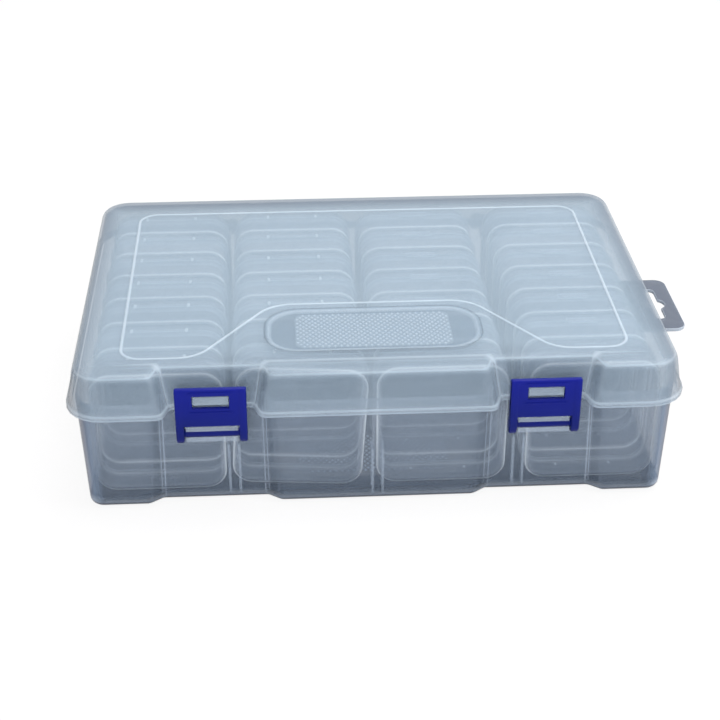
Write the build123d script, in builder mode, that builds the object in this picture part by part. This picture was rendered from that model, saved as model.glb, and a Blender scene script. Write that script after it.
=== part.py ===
"""Thread box: a latched, hinged case that holds twenty-eight small clamshell boxes on edge.

Millimetres, +Z up. The origin is on the table, under the middle of the case, and the
latches face -Y. The case is sized from the small boxes outwards, so that it always fits them.
"""

import os
from math import cos, radians, sin

from build123d import *

# ---- Small boxes -------------------------------------------------------------------------
box_width = 54.8  # shell, left to right as it stands in the case
box_height = 56.0  # shell, as it stands on edge
box_body_depth = 12.8  # deep half, from its face to the parting plane
box_lid_depth = 9.2  # shallow half, from the parting plane to its face
box_wall = 1.0
box_inner_edge = 1.6  # rounding inside, where a face meets the sides
box_corner = 9.0  # radius of the four corners of the shell
box_edge = 2.6  # rounding where a face meets the sides
band_proud = 0.4  # stiffening bands at the parting plane stand out from the shell
body_band = 3.0  # band width along the depth, on the deep half
lid_band = 1.6  # band width along the depth, on the shallow half
hinge_length = 24.0  # moulded hinge strip across the parting plane
hinge_reach = 1.4  # half the width of the hinge strip
catch_length = 13.0  # snap tab on the edge opposite the hinge
catch_reach = 2.6
strip_height = 0.4  # hinge strip and snap tab stand out from the bands by this much
lip_reach = 1.2  # locating lip of the shallow half, inside the deep half
lip_wall = 0.7
lip_clearance = 0.1

# ---- How the small boxes stand in the case -----------------------------------------------
column_gaps = (1.8, 2.6, 6.4)  # between neighbouring columns, left to right
row_count = 7
row_gap = 0.3
side_gap = 0.4  # outer columns to the side walls
front_gap = 0.5  # front row to the pressed-in parts of the front wall
back_gap = 0.4
stand_gap = 0.1  # under each box
flipped_columns = (2, 3)  # columns whose boxes stand with the snap tab upwards
leaning_box = (1, 0)  # column and row of the one box that leans
lean_angle = 3.6  # degrees, its left side raised

# ---- Case base ---------------------------------------------------------------------------
base_height = 50.0
base_wall = 1.5
base_flare = 2.6  # each wall leans out by this much from the floor to the brim
base_corner = 12.0  # plan radius of the corners at the brim
foot_corner = 6.0  # plan radius of the corners at the floor
base_foot_edge = 3.4  # rounding between floor and walls
base_floor_edge = 2.4  # rounding inside, between floor and walls
edge_steps = 4  # flats that make up each rounding round the case

# ---- Pressed-in parts of the front wall, one behind each latch ---------------------------
latch_spacing = 133.2  # between the middles of the two latches
recess_depth = 8.4  # at the brim, and all the way up the lid
recess_half = 20.4  # half width of its flat back, at the brim
recess_flank = 2.6  # each flank leans out by this much
foot_recess_depth = 4.0  # at the floor, where the pressing fades
foot_recess_half = 20.6
foot_recess_flank = 5.4
mouth_radius = 4.0  # outer corners of the pressing
nook_radius = 2.4  # inner corners of the pressing

# ---- Guide ribs inside the front wall, in pairs between the columns ----------------------
rib_height = 24.0
rib_thickness = 1.2
rib_pair_spacing = 4.2
rib_gap = 0.3  # rib to the faces of the front row

# ---- Case lid ----------------------------------------------------------------------------
lid_wall = 1.4
lid_gap = 0.9  # lid wall to the brim of the base
rim_height = 45.0  # underside of the lid's rim above the table
head_room = 2.4  # small boxes to the underside of the lid's top
skirt_flare = 3.0  # the skirt leans out by this much from the top to the rim
lid_top_edge = 3.0
lid_inner_edge = 1.6
bead_proud = 0.6  # rolled bead round the rim
bead_height = 2.4
bead_edge = 0.5

# ---- Finger grip and ridge on the lid's top, finger grip under the floor ------------------
grip_length = 86.6
grip_width = 33.4
grip_corner = 13.0
grip_depth = 0.9
grip_front = 19.4  # front edge of the grip behind the lid's front edge
ridge_width = 1.5
ridge_height = 0.4
ridge_side_inset = 17.8  # ridge to the lid's side edges
ridge_front_inset = 13.8
ridge_back_inset = 17.0
ridge_corner = 9.0
ridge_sweep = 16.0  # radius of the bends that lead the ridge round the grip
ridge_sweep_run = 30.5  # sideways run of each sloping stretch
ridge_grip_overlap = 1.8  # the stretch behind the grip ends short of the grip's ends
ridge_grip_gap = 4.8  # ridge to the back edge of the grip
floor_grip_depth = 0.4

# ---- Latches -----------------------------------------------------------------------------
latch_width = 28.3
latch_thickness = 2.2
latch_height = 25.0  # from the bottom of the legs to the top of the plate
latch_stand = 0.9  # latch face behind the front of the lid's bead
leg_width = 3.2
leg_radius = 3.3  # rounded foot of each leg, about the pivot
plate_lift = 4.7  # lower edge of the plate above the pivot
pivot_height = 36.6
pivot_radius = 1.6
pivot_clearance = 0.25
window_width = 14.6
window_height = 5.7
window_lift = 12.8  # lower edge of the window above the pivot
window_rib_length = 17.0  # thin ribs above and below the window
window_rib_width = 0.7
window_rib_height = 0.3
window_rib_gap = 1.2
rail_width = 1.8  # stiffening rails along the two sides of the plate
rail_depth = 1.8  # they stand back from the plate
latch_edge = 0.5
lug_gap = 0.3  # lid lug to the edges of the window
lug_nose = 1.4  # height of the lug's blunt front
lug_setback = 0.4  # lug front behind the face of the latch
clip_gap = 0.5  # clip on the base to the legs on both sides
clip_wall = 1.6
clip_lip = 1.3  # the clip's lips reach this far past the pivot, which keeps the bar in

# ---- Rear hinges -------------------------------------------------------------------------
hinge_spacing = 140.0
knuckle_length = 16.0
knuckle_radius = 4.0
ear_web_height = 7.0  # of the ears, up the back of the skirt
hinge_drop = 1.2  # hinge axis below the underside of the rim
hinge_gap = 0.5  # knuckle to the lid's bead, and lid ears to the knuckle's ends
ear_thickness = 3.2
ear_radius = 3.4
ear_slope = 45.0  # degrees, where the ear web meets the rounded end
hinge_pin_radius = 2.0
hinge_pin_length = 5.0
hinge_pin_clearance = 0.1
arm_thickness = 3.2  # arm that carries each knuckle under the rim

# ---- Hang tab ----------------------------------------------------------------------------
tab_reach = 14.6  # past the lid's bead
tab_width = 47.4
tab_thickness = 1.6
tab_corner = 5.0
tab_gap = 0.4  # tab to the underside of the rim
slot_length = 28.0
slot_width = 4.8
slot_hole_radius = 4.8
slot_inset = 5.2  # slot centre line past the lid's bead

# ---- Places worked out from the sizes above ----------------------------------------------
box_depth = box_body_depth + box_lid_depth
box_full_width = box_width + 2 * band_proud
box_full_height = box_height + 2 * (band_proud + strip_height)
column_count = len(column_gaps) + 1

columns_width = column_count * box_full_width + sum(column_gaps)
rows_depth = row_count * box_depth + (row_count - 1) * row_gap
brim_half_width = columns_width / 2 + side_gap + base_wall + base_flare
brim_half_depth = (
    rows_depth + front_gap + back_gap + 2 * base_wall + recess_depth + base_flare
) / 2
front_row_y = -(brim_half_depth - recess_depth - base_wall) + front_gap
box_floor = base_wall + stand_gap

ceiling_height = base_wall + stand_gap + box_full_height + head_room
case_height = ceiling_height + lid_wall
skirt_slope = skirt_flare / (case_height - rim_height)
rim_spread = lid_gap + lid_wall + skirt_slope * (base_height - rim_height)
top_spread = rim_spread - skirt_flare
bead_spread = rim_spread + bead_proud
bead_front = -(brim_half_depth + bead_spread)
bead_side = brim_half_width + bead_spread
top_front = -(brim_half_depth + top_spread)
top_side = brim_half_width + top_spread

latch_face = bead_front + latch_stand
pivot_y = latch_face + leg_radius
lug_length = latch_face + lug_setback
latch_offsets = (-latch_spacing / 2, latch_spacing / 2)

knuckle_y = brim_half_depth + bead_spread + hinge_gap + knuckle_radius
knuckle_z = rim_height - hinge_drop
hinge_offsets = (-hinge_spacing / 2, hinge_spacing / 2)
quarter_turn = radians(90)
half_turn = 180


def skirt_spread(height):
    """How far the outside of the lid's skirt stands out from the brim of the base at a height."""
    return rim_spread - skirt_slope * (height - rim_height)


def edge_rings(radius):
    """Height above the flat and inset of each ring of a rounded edge, from the flat outwards."""
    angles = [quarter_turn * step / edge_steps for step in range(edge_steps + 1)]
    return [(radius * (1 - cos(angle)), radius * (1 - sin(angle))) for angle in angles]


def case_outline(spread, corner, depth, back_half, flank, inward):
    """Closed plan outline of the case, with a pressed-in part at each latch.

    spread is the distance outside the brim of the base, and inward shrinks the whole
    outline by a wall thickness.
    """
    side = brim_half_width + spread - inward
    end = brim_half_depth + spread - inward
    corners = [(side, -end), (side, end), (-side, end), (-side, -end)]
    radii = [corner - inward] * len(corners)
    for middle in latch_offsets:
        half = back_half + inward
        corners += [
            (middle - half - flank, -end),
            (middle - half, depth - end),
            (middle + half, depth - end),
            (middle + half + flank, -end),
        ]
        mouth = mouth_radius - inward
        nook = nook_radius + inward
        radii += [mouth, nook, nook, mouth]
    FilletPolyline(*corners, radius=radii, close=True)


def brim_section(height, spread, inward=0.0):
    """Section at or above the brim, where the pressed-in parts keep their full depth."""
    with BuildSketch(Plane.XY.offset(height)) as section:
        with BuildLine():
            case_outline(
                spread,
                base_corner + spread,
                recess_depth,
                recess_half - spread,
                recess_flank,
                inward,
            )
        make_face()
    return section.sketch


def foot_section(height, inward=0.0):
    """Section near the floor, where the pressed-in parts are shallow and their flanks slant."""
    with BuildSketch(Plane.XY.offset(height)) as section:
        with BuildLine():
            case_outline(
                -base_flare,
                foot_corner,
                foot_recess_depth,
                foot_recess_half,
                foot_recess_flank,
                inward,
            )
        make_face()
    return section.sketch


def brim_recess_y(height):
    """Outer face of the lid's pressed-in wall at a height."""
    return recess_depth - brim_half_depth - skirt_spread(height)


def skirt_back(height):
    """Middle of the lid's back wall at a height."""
    return brim_half_depth + skirt_spread(height) - lid_wall / 2


def base_recess_y(height):
    """Outer face of the base's pressed-in wall at a height."""
    foot = foot_recess_depth + base_flare - brim_half_depth
    brim = recess_depth - brim_half_depth
    return foot + (brim - foot) * height / base_height


def grip_outline(margin=0.0):
    """Finger grip outline, grown by a margin."""
    RectangleRounded(
        grip_length + 2 * margin, grip_width + 2 * margin, grip_corner + margin
    )


def side_plane(x):
    """Plane across the case at x, whose own axes are Y and Z."""
    return Plane((x, 0, 0), x_dir=(0, 1, 0), z_dir=(1, 0, 0))


grip_y = top_front + grip_front + grip_width / 2
clip_radius = pivot_radius + pivot_clearance
clip_half_height = clip_radius + clip_wall
clip_half_length = latch_width / 2 - leg_width - clip_gap
plate_bottom = pivot_height + plate_lift
window_bottom = pivot_height + window_lift
window_top = window_bottom + window_height

# ---- Case base ---------------------------------------------------------------------------
with BuildPart() as base_cavity:
    sections = [
        foot_section(base_wall + rise, base_wall + inset)
        for rise, inset in edge_rings(base_floor_edge)
    ]
    loft([*sections, brim_section(base_height, 0.0, base_wall)], ruled=True)
    rib_front = -brim_half_depth
    rib_back = front_row_y - rib_gap
    rib_pitch = 2 * (brim_half_width - base_flare - base_wall) / column_count
    with BuildSketch(Plane.XY):
        with Locations((0, (rib_front + rib_back) / 2)):
            with GridLocations(rib_pitch, 0, len(column_gaps), 1):
                with GridLocations(rib_pair_spacing, 0, 2, 1):
                    Rectangle(rib_thickness, rib_back - rib_front)
    extrude(amount=base_wall + rib_height, mode=Mode.SUBTRACT)

with BuildPart() as case_base:
    sections = [foot_section(rise, inset) for rise, inset in edge_rings(base_foot_edge)]
    loft([*sections, brim_section(base_height, 0.0)], ruled=True)
    add(base_cavity.part, mode=Mode.SUBTRACT)

    with BuildSketch(Plane.XY):
        with Locations((0, grip_y)):
            grip_outline()
    extrude(amount=floor_grip_depth, mode=Mode.SUBTRACT)

    for offset_x in latch_offsets:
        root = base_recess_y(pivot_height) + base_wall / 2
        with BuildSketch(side_plane(offset_x)):
            with Locations(((root + pivot_y - clip_lip) / 2, pivot_height)):
                Rectangle(root - pivot_y + clip_lip, 2 * clip_half_height)
            with Locations((pivot_y, pivot_height)):
                Circle(clip_radius, mode=Mode.SUBTRACT)
        extrude(amount=clip_half_length, both=True)

    for offset_x in hinge_offsets:
        arm_root = brim_half_depth - base_wall / 2 - base_flare * (1 - knuckle_z / base_height)
        arm_middle = knuckle_z - knuckle_radius + arm_thickness / 2
        with BuildSketch(side_plane(offset_x)):
            with Locations(((arm_root + knuckle_y) / 2, arm_middle)):
                Rectangle(knuckle_y - arm_root, arm_thickness)
            with Locations((knuckle_y, knuckle_z)):
                Circle(knuckle_radius)
                Circle(hinge_pin_radius + hinge_pin_clearance, mode=Mode.SUBTRACT)
        extrude(amount=knuckle_length / 2, both=True)

    tab_root = brim_half_width - base_wall / 2 - base_flare * (1 - rim_height / base_height)
    tab_end = bead_side + tab_reach
    with BuildSketch(Plane.XY.offset(rim_height - tab_gap)):
        with Locations(((tab_root + tab_end) / 2, 0)):
            tab_plate = Rectangle(tab_end - tab_root, tab_width)
        fillet(tab_plate.vertices().group_by(Axis.X)[-1], tab_corner)
        with Locations((bead_side + slot_inset, 0)):
            SlotOverall(slot_length, slot_width, rotation=90, mode=Mode.SUBTRACT)
            Circle(slot_hole_radius, mode=Mode.SUBTRACT)
    extrude(amount=-tab_thickness)

# ---- Case lid ----------------------------------------------------------------------------
with BuildPart() as lid_cavity:
    sections = [
        brim_section(
            ceiling_height - drop, skirt_spread(ceiling_height - drop), lid_wall + inset
        )
        for drop, inset in reversed(edge_rings(lid_inner_edge))
    ]
    loft([brim_section(rim_height, rim_spread, lid_wall), *sections], ruled=True)
    with BuildSketch(Plane.XY.offset(ceiling_height)):
        with Locations((0, grip_y)):
            grip_outline(lid_wall)
    extrude(amount=-grip_depth, mode=Mode.SUBTRACT)

with BuildPart() as case_lid:
    sections = [
        brim_section(case_height - drop, skirt_spread(case_height - drop), inset)
        for drop, inset in reversed(edge_rings(lid_top_edge))
    ]
    loft([brim_section(rim_height, rim_spread), *sections], ruled=True)

    bead_sections = [
        brim_section(rim_height, bead_spread, bead_edge),
        brim_section(rim_height + bead_edge, bead_spread),
        brim_section(rim_height + bead_height - bead_edge, bead_spread),
        brim_section(rim_height + bead_height, bead_spread, bead_edge),
    ]
    loft(bead_sections, ruled=True)
    add(lid_cavity.part, mode=Mode.SUBTRACT)

    with BuildSketch(Plane.XY.offset(case_height)):
        with Locations((0, grip_y)):
            grip_outline()
    extrude(amount=-grip_depth, mode=Mode.SUBTRACT)

    ridge_side = top_side - ridge_side_inset
    ridge_front = top_front + ridge_front_inset
    ridge_back = -top_front - ridge_back_inset
    ridge_turn = grip_y + grip_width / 2 + ridge_grip_gap
    ridge_inner = grip_length / 2 - ridge_grip_overlap
    ridge_outer = ridge_inner + ridge_sweep_run
    with BuildSketch(Plane.XY.offset(case_height)):
        with BuildLine():
            FilletPolyline(
                (-ridge_side, ridge_back),
                (-ridge_side, ridge_front),
                (-ridge_outer, ridge_front),
                (-ridge_inner, ridge_turn),
                (ridge_inner, ridge_turn),
                (ridge_outer, ridge_front),
                (ridge_side, ridge_front),
                (ridge_side, ridge_back),
                radius=[ridge_corner] * 2 + [ridge_sweep] * 4 + [ridge_corner] * 2,
                close=True,
            )
        make_face()
        offset(amount=-ridge_width, mode=Mode.SUBTRACT)
    extrude(amount=ridge_height)

    for offset_x in latch_offsets:
        lug_top = window_top - lug_gap
        lug_bottom = window_bottom + lug_gap
        with BuildSketch(side_plane(offset_x)):
            with BuildLine():
                Polyline(
                    (brim_recess_y(lug_top) + lid_wall / 2, lug_top),
                    (lug_length, lug_top),
                    (lug_length, lug_top - lug_nose),
                    (brim_recess_y(lug_bottom) + lid_wall / 2, lug_bottom),
                    close=True,
                )
            make_face()
        extrude(amount=window_width / 2 - lug_gap, both=True)

    ear_top = rim_height + ear_web_height
    ear_back = knuckle_y + ear_radius * cos(radians(ear_slope))
    ear_shoulder = knuckle_z + ear_radius * sin(radians(ear_slope))
    for offset_x in hinge_offsets:
        for turn in (-1, 1):
            inner_face = offset_x + turn * (knuckle_length / 2 + hinge_gap)
            with BuildSketch(side_plane(inner_face)):
                with BuildLine():
                    Polyline(
                        (skirt_back(rim_height), rim_height),
                        (skirt_back(ear_top), ear_top),
                        (ear_back, ear_shoulder),
                        (knuckle_y, knuckle_z),
                        close=True,
                    )
                make_face()
                with Locations((knuckle_y, knuckle_z)):
                    Circle(ear_radius)
            extrude(amount=turn * ear_thickness)
            with BuildSketch(side_plane(inner_face)):
                with Locations((knuckle_y, knuckle_z)):
                    Circle(hinge_pin_radius)
            extrude(amount=-turn * hinge_pin_length)

# ---- Latch, built in the middle of the case -----------------------------------------------
with BuildPart() as latch:
    plate_top = pivot_height - leg_radius + latch_height
    front_plane = Plane.XZ.offset(-latch_face)
    leg_depth = latch_thickness + rail_depth
    with BuildSketch(front_plane):
        with Locations((0, (plate_bottom + plate_top) / 2)):
            Rectangle(latch_width, plate_top - plate_bottom)
        with Locations((0, (window_bottom + window_top) / 2)):
            Rectangle(window_width, window_height, mode=Mode.SUBTRACT)
    extrude(amount=-latch_thickness)
    with BuildSketch(front_plane):
        with GridLocations(latch_width - rail_width, 0, 2, 1):
            with Locations((0, (plate_bottom + plate_top) / 2)):
                Rectangle(rail_width, plate_top - plate_bottom)
    extrude(amount=-leg_depth)
    for turn in (-1, 1):
        with BuildSketch(side_plane(turn * (latch_width / 2 - leg_width))):
            with Locations((latch_face + leg_depth / 2, (pivot_height + plate_bottom) / 2)):
                Rectangle(leg_depth, plate_bottom - pivot_height)
            with Locations((pivot_y, pivot_height)):
                Circle(leg_radius)
        extrude(amount=turn * leg_width)
    with BuildSketch(side_plane(0)):
        with Locations((pivot_y, pivot_height)):
            Circle(pivot_radius)
    extrude(amount=latch_width / 2 - leg_width, both=True)
    fillet(latch.edges().filter_by(Axis.Z).group_by(Axis.Y)[0], latch_edge)
    rib_offset = window_height + 2 * window_rib_gap + window_rib_width
    with BuildSketch(front_plane):
        with Locations((0, (window_bottom + window_top) / 2)):
            with GridLocations(0, rib_offset, 1, 2):
                Rectangle(window_rib_length, window_rib_width)
    extrude(amount=window_rib_height)

# ---- Small box, built standing on edge about its own middle, its deep face at y = 0 ---------
band_width = box_full_width
band_height = box_height + 2 * band_proud
band_corner = box_corner + band_proud
hollow_width = box_width - 2 * box_wall
hollow_height = box_height - 2 * box_wall
hollow_corner = box_corner - box_wall
parting = Plane.XZ.offset(-box_body_depth)


def hollow_outline(inset=0.0, mode=Mode.ADD):
    """Inside outline of the small box, shrunk by an inset."""
    RectangleRounded(
        hollow_width - 2 * inset, hollow_height - 2 * inset, hollow_corner - inset, mode=mode
    )


with BuildPart() as body_hollow:
    with BuildSketch(parting):
        hollow_outline()
    extrude(amount=box_body_depth - box_wall)
    fillet(body_hollow.faces().sort_by(Axis.Y)[0].edges(), box_inner_edge)

with BuildPart() as box_body:
    with BuildSketch(Plane.XZ):
        RectangleRounded(box_width, box_height, box_corner)
    extrude(amount=-box_body_depth)
    fillet(box_body.faces().sort_by(Axis.Y)[0].edges(), box_edge)
    with BuildSketch(parting):
        RectangleRounded(band_width, band_height, band_corner)
    extrude(amount=body_band)
    add(body_hollow.part, mode=Mode.SUBTRACT)
    with BuildSketch(Plane.XY.offset(band_height / 2)):
        with Locations((0, box_body_depth)):
            Rectangle(hinge_length, 2 * hinge_reach)
    extrude(amount=strip_height)

with BuildPart() as lid_hollow:
    with BuildSketch(parting):
        hollow_outline()
    extrude(amount=-(box_lid_depth - box_wall))
    fillet(lid_hollow.faces().sort_by(Axis.Y)[-1].edges(), box_inner_edge)

with BuildPart() as box_lid:
    with BuildSketch(parting):
        RectangleRounded(box_width, box_height, box_corner)
    extrude(amount=-box_lid_depth)
    fillet(box_lid.faces().sort_by(Axis.Y)[-1].edges(), box_edge)
    with BuildSketch(parting):
        RectangleRounded(band_width, band_height, band_corner)
    extrude(amount=-lid_band)
    add(lid_hollow.part, mode=Mode.SUBTRACT)
    with BuildSketch(parting):
        hollow_outline()
        hollow_outline(lip_clearance + lip_wall, Mode.SUBTRACT)
    extrude(amount=-lid_band)
    with BuildSketch(parting):
        hollow_outline(lip_clearance)
        hollow_outline(lip_clearance + lip_wall, Mode.SUBTRACT)
    extrude(amount=lip_reach)
    with BuildSketch(Plane.XY.offset(-band_height / 2)):
        with Locations((0, box_body_depth + (lid_band - catch_reach) / 2)):
            Rectangle(catch_length, lid_band + catch_reach)
    extrude(amount=-strip_height)

# ---- Places of the small boxes -------------------------------------------------------------
corner_rise = (band_height / 2 - band_corner) * cos(radians(lean_angle))
corner_rise += (band_width / 2 - band_corner) * sin(radians(lean_angle))
lean_height = box_floor + band_corner + corner_rise
upright_height = box_floor + box_full_height / 2


def box_place(column, row):
    """Location of the small box in a column and a row, both counted from zero."""
    x = (box_full_width - columns_width) / 2 + column * box_full_width
    x += sum(column_gaps[:column])
    y = front_row_y + row * (box_depth + row_gap)
    if (column, row) == leaning_box:
        return Location((x, y, lean_height), (0, lean_angle, 0))
    if column in flipped_columns:
        return Location((x, y, upright_height), (0, half_turn, 0))
    return Location((x, y, upright_height))


# ---- The pieces, by name --------------------------------------------------------------------
pieces = {"case_base": case_base.part, "case_lid": case_lid.part}
for side, offset_x in zip(("left", "right"), latch_offsets):
    pieces[f"latch_{side}"] = Location((offset_x, 0, 0)) * latch.part
for column in range(column_count):
    for row in range(row_count):
        name = f"box_c{column + 1}_r{row + 1}"
        place = box_place(column, row)
        pieces[f"{name}_body"] = place * box_body.part
        pieces[f"{name}_lid"] = place * box_lid.part

os.makedirs("parts", exist_ok=True)
for name, piece in pieces.items():
    piece.label = name
    export_step(piece, f"parts/{name}.step")
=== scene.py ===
"""Thread box in milky plastic with two blue latches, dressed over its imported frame.

Sizes in the classes are millimetres. Meshes are written in metres, with +Z up.
"""

import logging
import math
from dataclasses import dataclass, field, replace
from enum import Enum
from typing import Sequence, Union

import bmesh
import bpy
from mathutils import Matrix, Vector
from mathutils.geometry import tessellate_polygon


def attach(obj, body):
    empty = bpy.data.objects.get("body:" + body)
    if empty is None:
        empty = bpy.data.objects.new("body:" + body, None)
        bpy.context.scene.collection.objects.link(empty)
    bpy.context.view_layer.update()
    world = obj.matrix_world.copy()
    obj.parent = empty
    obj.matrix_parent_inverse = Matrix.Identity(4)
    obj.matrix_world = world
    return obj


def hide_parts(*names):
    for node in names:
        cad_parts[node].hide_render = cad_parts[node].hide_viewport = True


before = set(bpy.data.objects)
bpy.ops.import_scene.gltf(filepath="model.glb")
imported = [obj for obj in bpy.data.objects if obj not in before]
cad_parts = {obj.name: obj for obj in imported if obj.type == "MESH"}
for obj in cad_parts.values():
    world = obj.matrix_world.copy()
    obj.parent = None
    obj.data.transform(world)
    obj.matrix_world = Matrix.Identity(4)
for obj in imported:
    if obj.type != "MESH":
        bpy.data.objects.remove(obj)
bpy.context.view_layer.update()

MM = 0.001
SHARP = math.radians(38.0)
LOG = logging.getLogger("thread_box")

Number = Union[int, float]
Colour = tuple[float, float, float]
Corner = tuple[float, float, float]
Spot = tuple[float, float]

# How far past a rounded edge a flat's outer ring lies, in millimetres.
TUCK = 0.4
# Least cosine of the half turn at an outline's point, so that a sharp one isn't thrown far out.
LEAST_BEND = 0.35
# How fast the milkiness of an outline's corner falls to its two sides.
CREST_FALL = 1.4


# ---- Shader maths --------------------------------------------------------------------------


class Flow:
    """One output socket, on which Python's operators add Math nodes."""

    def __init__(self, tree: bpy.types.NodeTree, socket: bpy.types.NodeSocket) -> None:
        """Wraps a socket.

        Args:
            tree: the node tree that holds the socket.
            socket: the output socket.
        """
        self.tree = tree
        self.socket = socket

    def math(self, operation: str, *others: Union["Flow", Number], clamp: bool = False) -> "Flow":
        """Adds a Math node whose first input is this socket.

        Args:
            operation: the node's operation.
            others: the further inputs, in order.
            clamp: whether the result is kept between 0 and 1.

        Returns:
            The node's result.
        """
        node = self.tree.nodes.new("ShaderNodeMath")
        node.operation = operation
        node.use_clamp = clamp
        for slot, value in enumerate((self, *others)):
            plug(self.tree, node.inputs[slot], value)
        return Flow(self.tree, node.outputs[0])

    def __add__(self, other: Union["Flow", Number]) -> "Flow":
        """Sum."""
        return self.math("ADD", other)

    def __sub__(self, other: Union["Flow", Number]) -> "Flow":
        """Difference."""
        return self.math("SUBTRACT", other)

    def __mul__(self, other: Union["Flow", Number]) -> "Flow":
        """Product."""
        return self.math("MULTIPLY", other)

    def __pow__(self, other: Union["Flow", Number]) -> "Flow":
        """Power."""
        return self.math("POWER", other)

    def __radd__(self, other: Number) -> "Flow":
        """Sum with a number on the left."""
        return self.math("ADD", other)

    def __rmul__(self, other: Number) -> "Flow":
        """Product with a number on the left."""
        return self.math("MULTIPLY", other)

    def __rsub__(self, other: Number) -> "Flow":
        """A number less this."""
        return self.math("MULTIPLY", -1.0).math("ADD", other)

    def twin(self, name: str) -> "Flow":
        """Another output of the same node."""
        return Flow(self.tree, self.socket.node.outputs[name])

    def clamped(self) -> "Flow":
        """This, kept between 0 and 1."""
        return self.math("ADD", 0.0, clamp=True)


def plug(
    tree: bpy.types.NodeTree, target: bpy.types.NodeSocket, value: Union[Flow, Number, Sequence]
) -> None:
    """Links a flow to a socket, or sets the socket's own value.

    Args:
        tree: the node tree.
        target: the input socket.
        value: a flow, a number or a sequence of numbers.
    """
    if isinstance(value, Flow):
        tree.links.new(value.socket, target)
    else:
        target.default_value = value


class NodeSheet:
    """A node tree with one method that adds any node."""

    def __init__(self, tree: bpy.types.NodeTree) -> None:
        """Clears the tree.

        Args:
            tree: the node tree to fill.
        """
        self.tree = tree
        tree.nodes.clear()

    def add(
        self,
        kind: str,
        sockets: dict[Union[str, int], Union[Flow, Number, Sequence]] | None = None,
        output: Union[str, int] = 0,
        ramp: Sequence[tuple[float, Colour]] = (),
        **settings: object,
    ) -> Flow:
        """Adds a node.

        Args:
            kind: the node's type.
            sockets: values or flows for its inputs, by name or place.
            output: the output that is returned, by name or place.
            ramp: stops of a colour ramp.
            settings: properties that are set before any socket.

        Returns:
            The chosen output.
        """
        node = self.tree.nodes.new(kind)
        for key, value in settings.items():
            setattr(node, key, value)
        if ramp:
            stops = node.color_ramp.elements
            while len(stops) < len(ramp):
                stops.new(0.5)
            for stop, (place, colour) in zip(stops, ramp):
                stop.position = place
                stop.color = (*colour, 1.0)
        for key, value in (sockets or {}).items():
            plug(self.tree, node.inputs[key], value)
        return Flow(self.tree, node.outputs[output] if len(node.outputs) else None)

    def blend(self, factor: Flow, low: Union[Flow, Colour], high: Union[Flow, Colour]) -> Flow:
        """Mixes two colours.

        Args:
            factor: 0 gives low and 1 gives high.
            low: first colour.
            high: second colour.

        Returns:
            The mixed colour.
        """
        ends = [value if isinstance(value, Flow) else (*value, 1.0) for value in (low, high)]
        return self.add(
            "ShaderNodeMix",
            {"Factor": factor, 6: ends[0], 7: ends[1]},
            output=2,
            data_type="RGBA",
        )


# ---- Finishes ------------------------------------------------------------------------------


def ramp(sheet: NodeSheet, value: Flow, start: float, width: float) -> Flow:
    """Rises from 0 to 1 over a width, from a start, both in millimetres."""
    ends = {1: start * MM, 2: (start + width) * MM}
    return sheet.add("ShaderNodeMapRange", {"Value": value, **ends})


@dataclass(frozen=True)
class Plastic:
    """What every plastic of the object shares."""

    name: str

    def shader(self, sheet: NodeSheet, place: Flow) -> Flow:
        """Builds the surface shader.

        Args:
            sheet: the material's nodes.
            place: the point on the surface.

        Returns:
            The shader.
        """
        raise NotImplementedError

    def material(self) -> bpy.types.Material:
        """Finds the plastic's material, or builds it.

        Returns:
            The one material of this name.
        """
        made = bpy.data.materials.get(self.name)
        if made is None:
            made = bpy.data.materials.new(self.name)
            made.use_nodes = True
            sheet = NodeSheet(made.node_tree)
            place = sheet.add("ShaderNodeTexCoord", output="Object")
            sheet.add("ShaderNodeOutputMaterial", {"Surface": self.shader(sheet, place)})
        return made


@dataclass(frozen=True)
class PaintedShadeBand:
    """Denser, darker band of a shell along its sides and back, which is painted shade.

    The places are millimetres from the shell's middle. Share is how much of the band the
    sides get, and the edge is the outermost, darkest part of the band, a painted dark outline.
    """

    alpha: float
    veil: Colour
    side: float
    width: float
    share: float
    back: float = 70.0
    front: float = 64.0
    front_width: float = 8.0
    front_share: float = 0.0
    corner_alpha: float | None = None
    painted_edge_shade: Colour = (0.05, 0.066, 0.09)
    edge_side: float = 120.6
    edge_back: float = 84.8
    edge_width: float = 3.4

    def lay(
        self, sheet: NodeSheet, at: Flow, colour: Flow, alpha: Flow, milk_and_highlight: Flow, thin: Flow
    ) -> tuple[Flow, Flow]:
        """Lays the band of painted shade over a shell's colour and alpha.

        Args:
            sheet: the material's nodes.
            at: the Z output of the node that splits the point on the surface.
            colour: the shell's colour.
            alpha: its alpha.
            milk_and_highlight: its milkiness.
            thin: its alpha where the wall is thin.

        Returns:
            The new colour and the new alpha.
        """
        x, y = at.twin("X").math("ABSOLUTE"), at.twin("Y")
        side = ramp(sheet, x, self.side, self.width)
        back = ramp(sheet, y, self.back, self.width)
        front = ramp(sheet, y * -1.0, self.front, self.front_width)
        corner = side * front
        # Painted shade: the band darkens the colour and makes the wall denser.
        band = (side * self.share).math("MAXIMUM", back)
        shade_share = band.math("MAXIMUM", front * self.front_share)
        colour = sheet.blend(shade_share, colour, self.veil)
        # Painted shade: a dark outline along the outermost sides and back.
        outer_side = ramp(sheet, x, self.edge_side, self.edge_width)
        outer_back = ramp(sheet, y, self.edge_back, self.edge_width)
        colour = sheet.blend(outer_side.math("MAXIMUM", outer_back), colour, self.painted_edge_shade)
        alpha = alpha + band * (1.0 - milk_and_highlight) * (self.alpha - thin)
        if self.corner_alpha is not None:
            extra = self.corner_alpha - self.alpha * self.share
            alpha = alpha + corner * (1.0 - milk_and_highlight) * extra
        return colour, alpha


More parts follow.
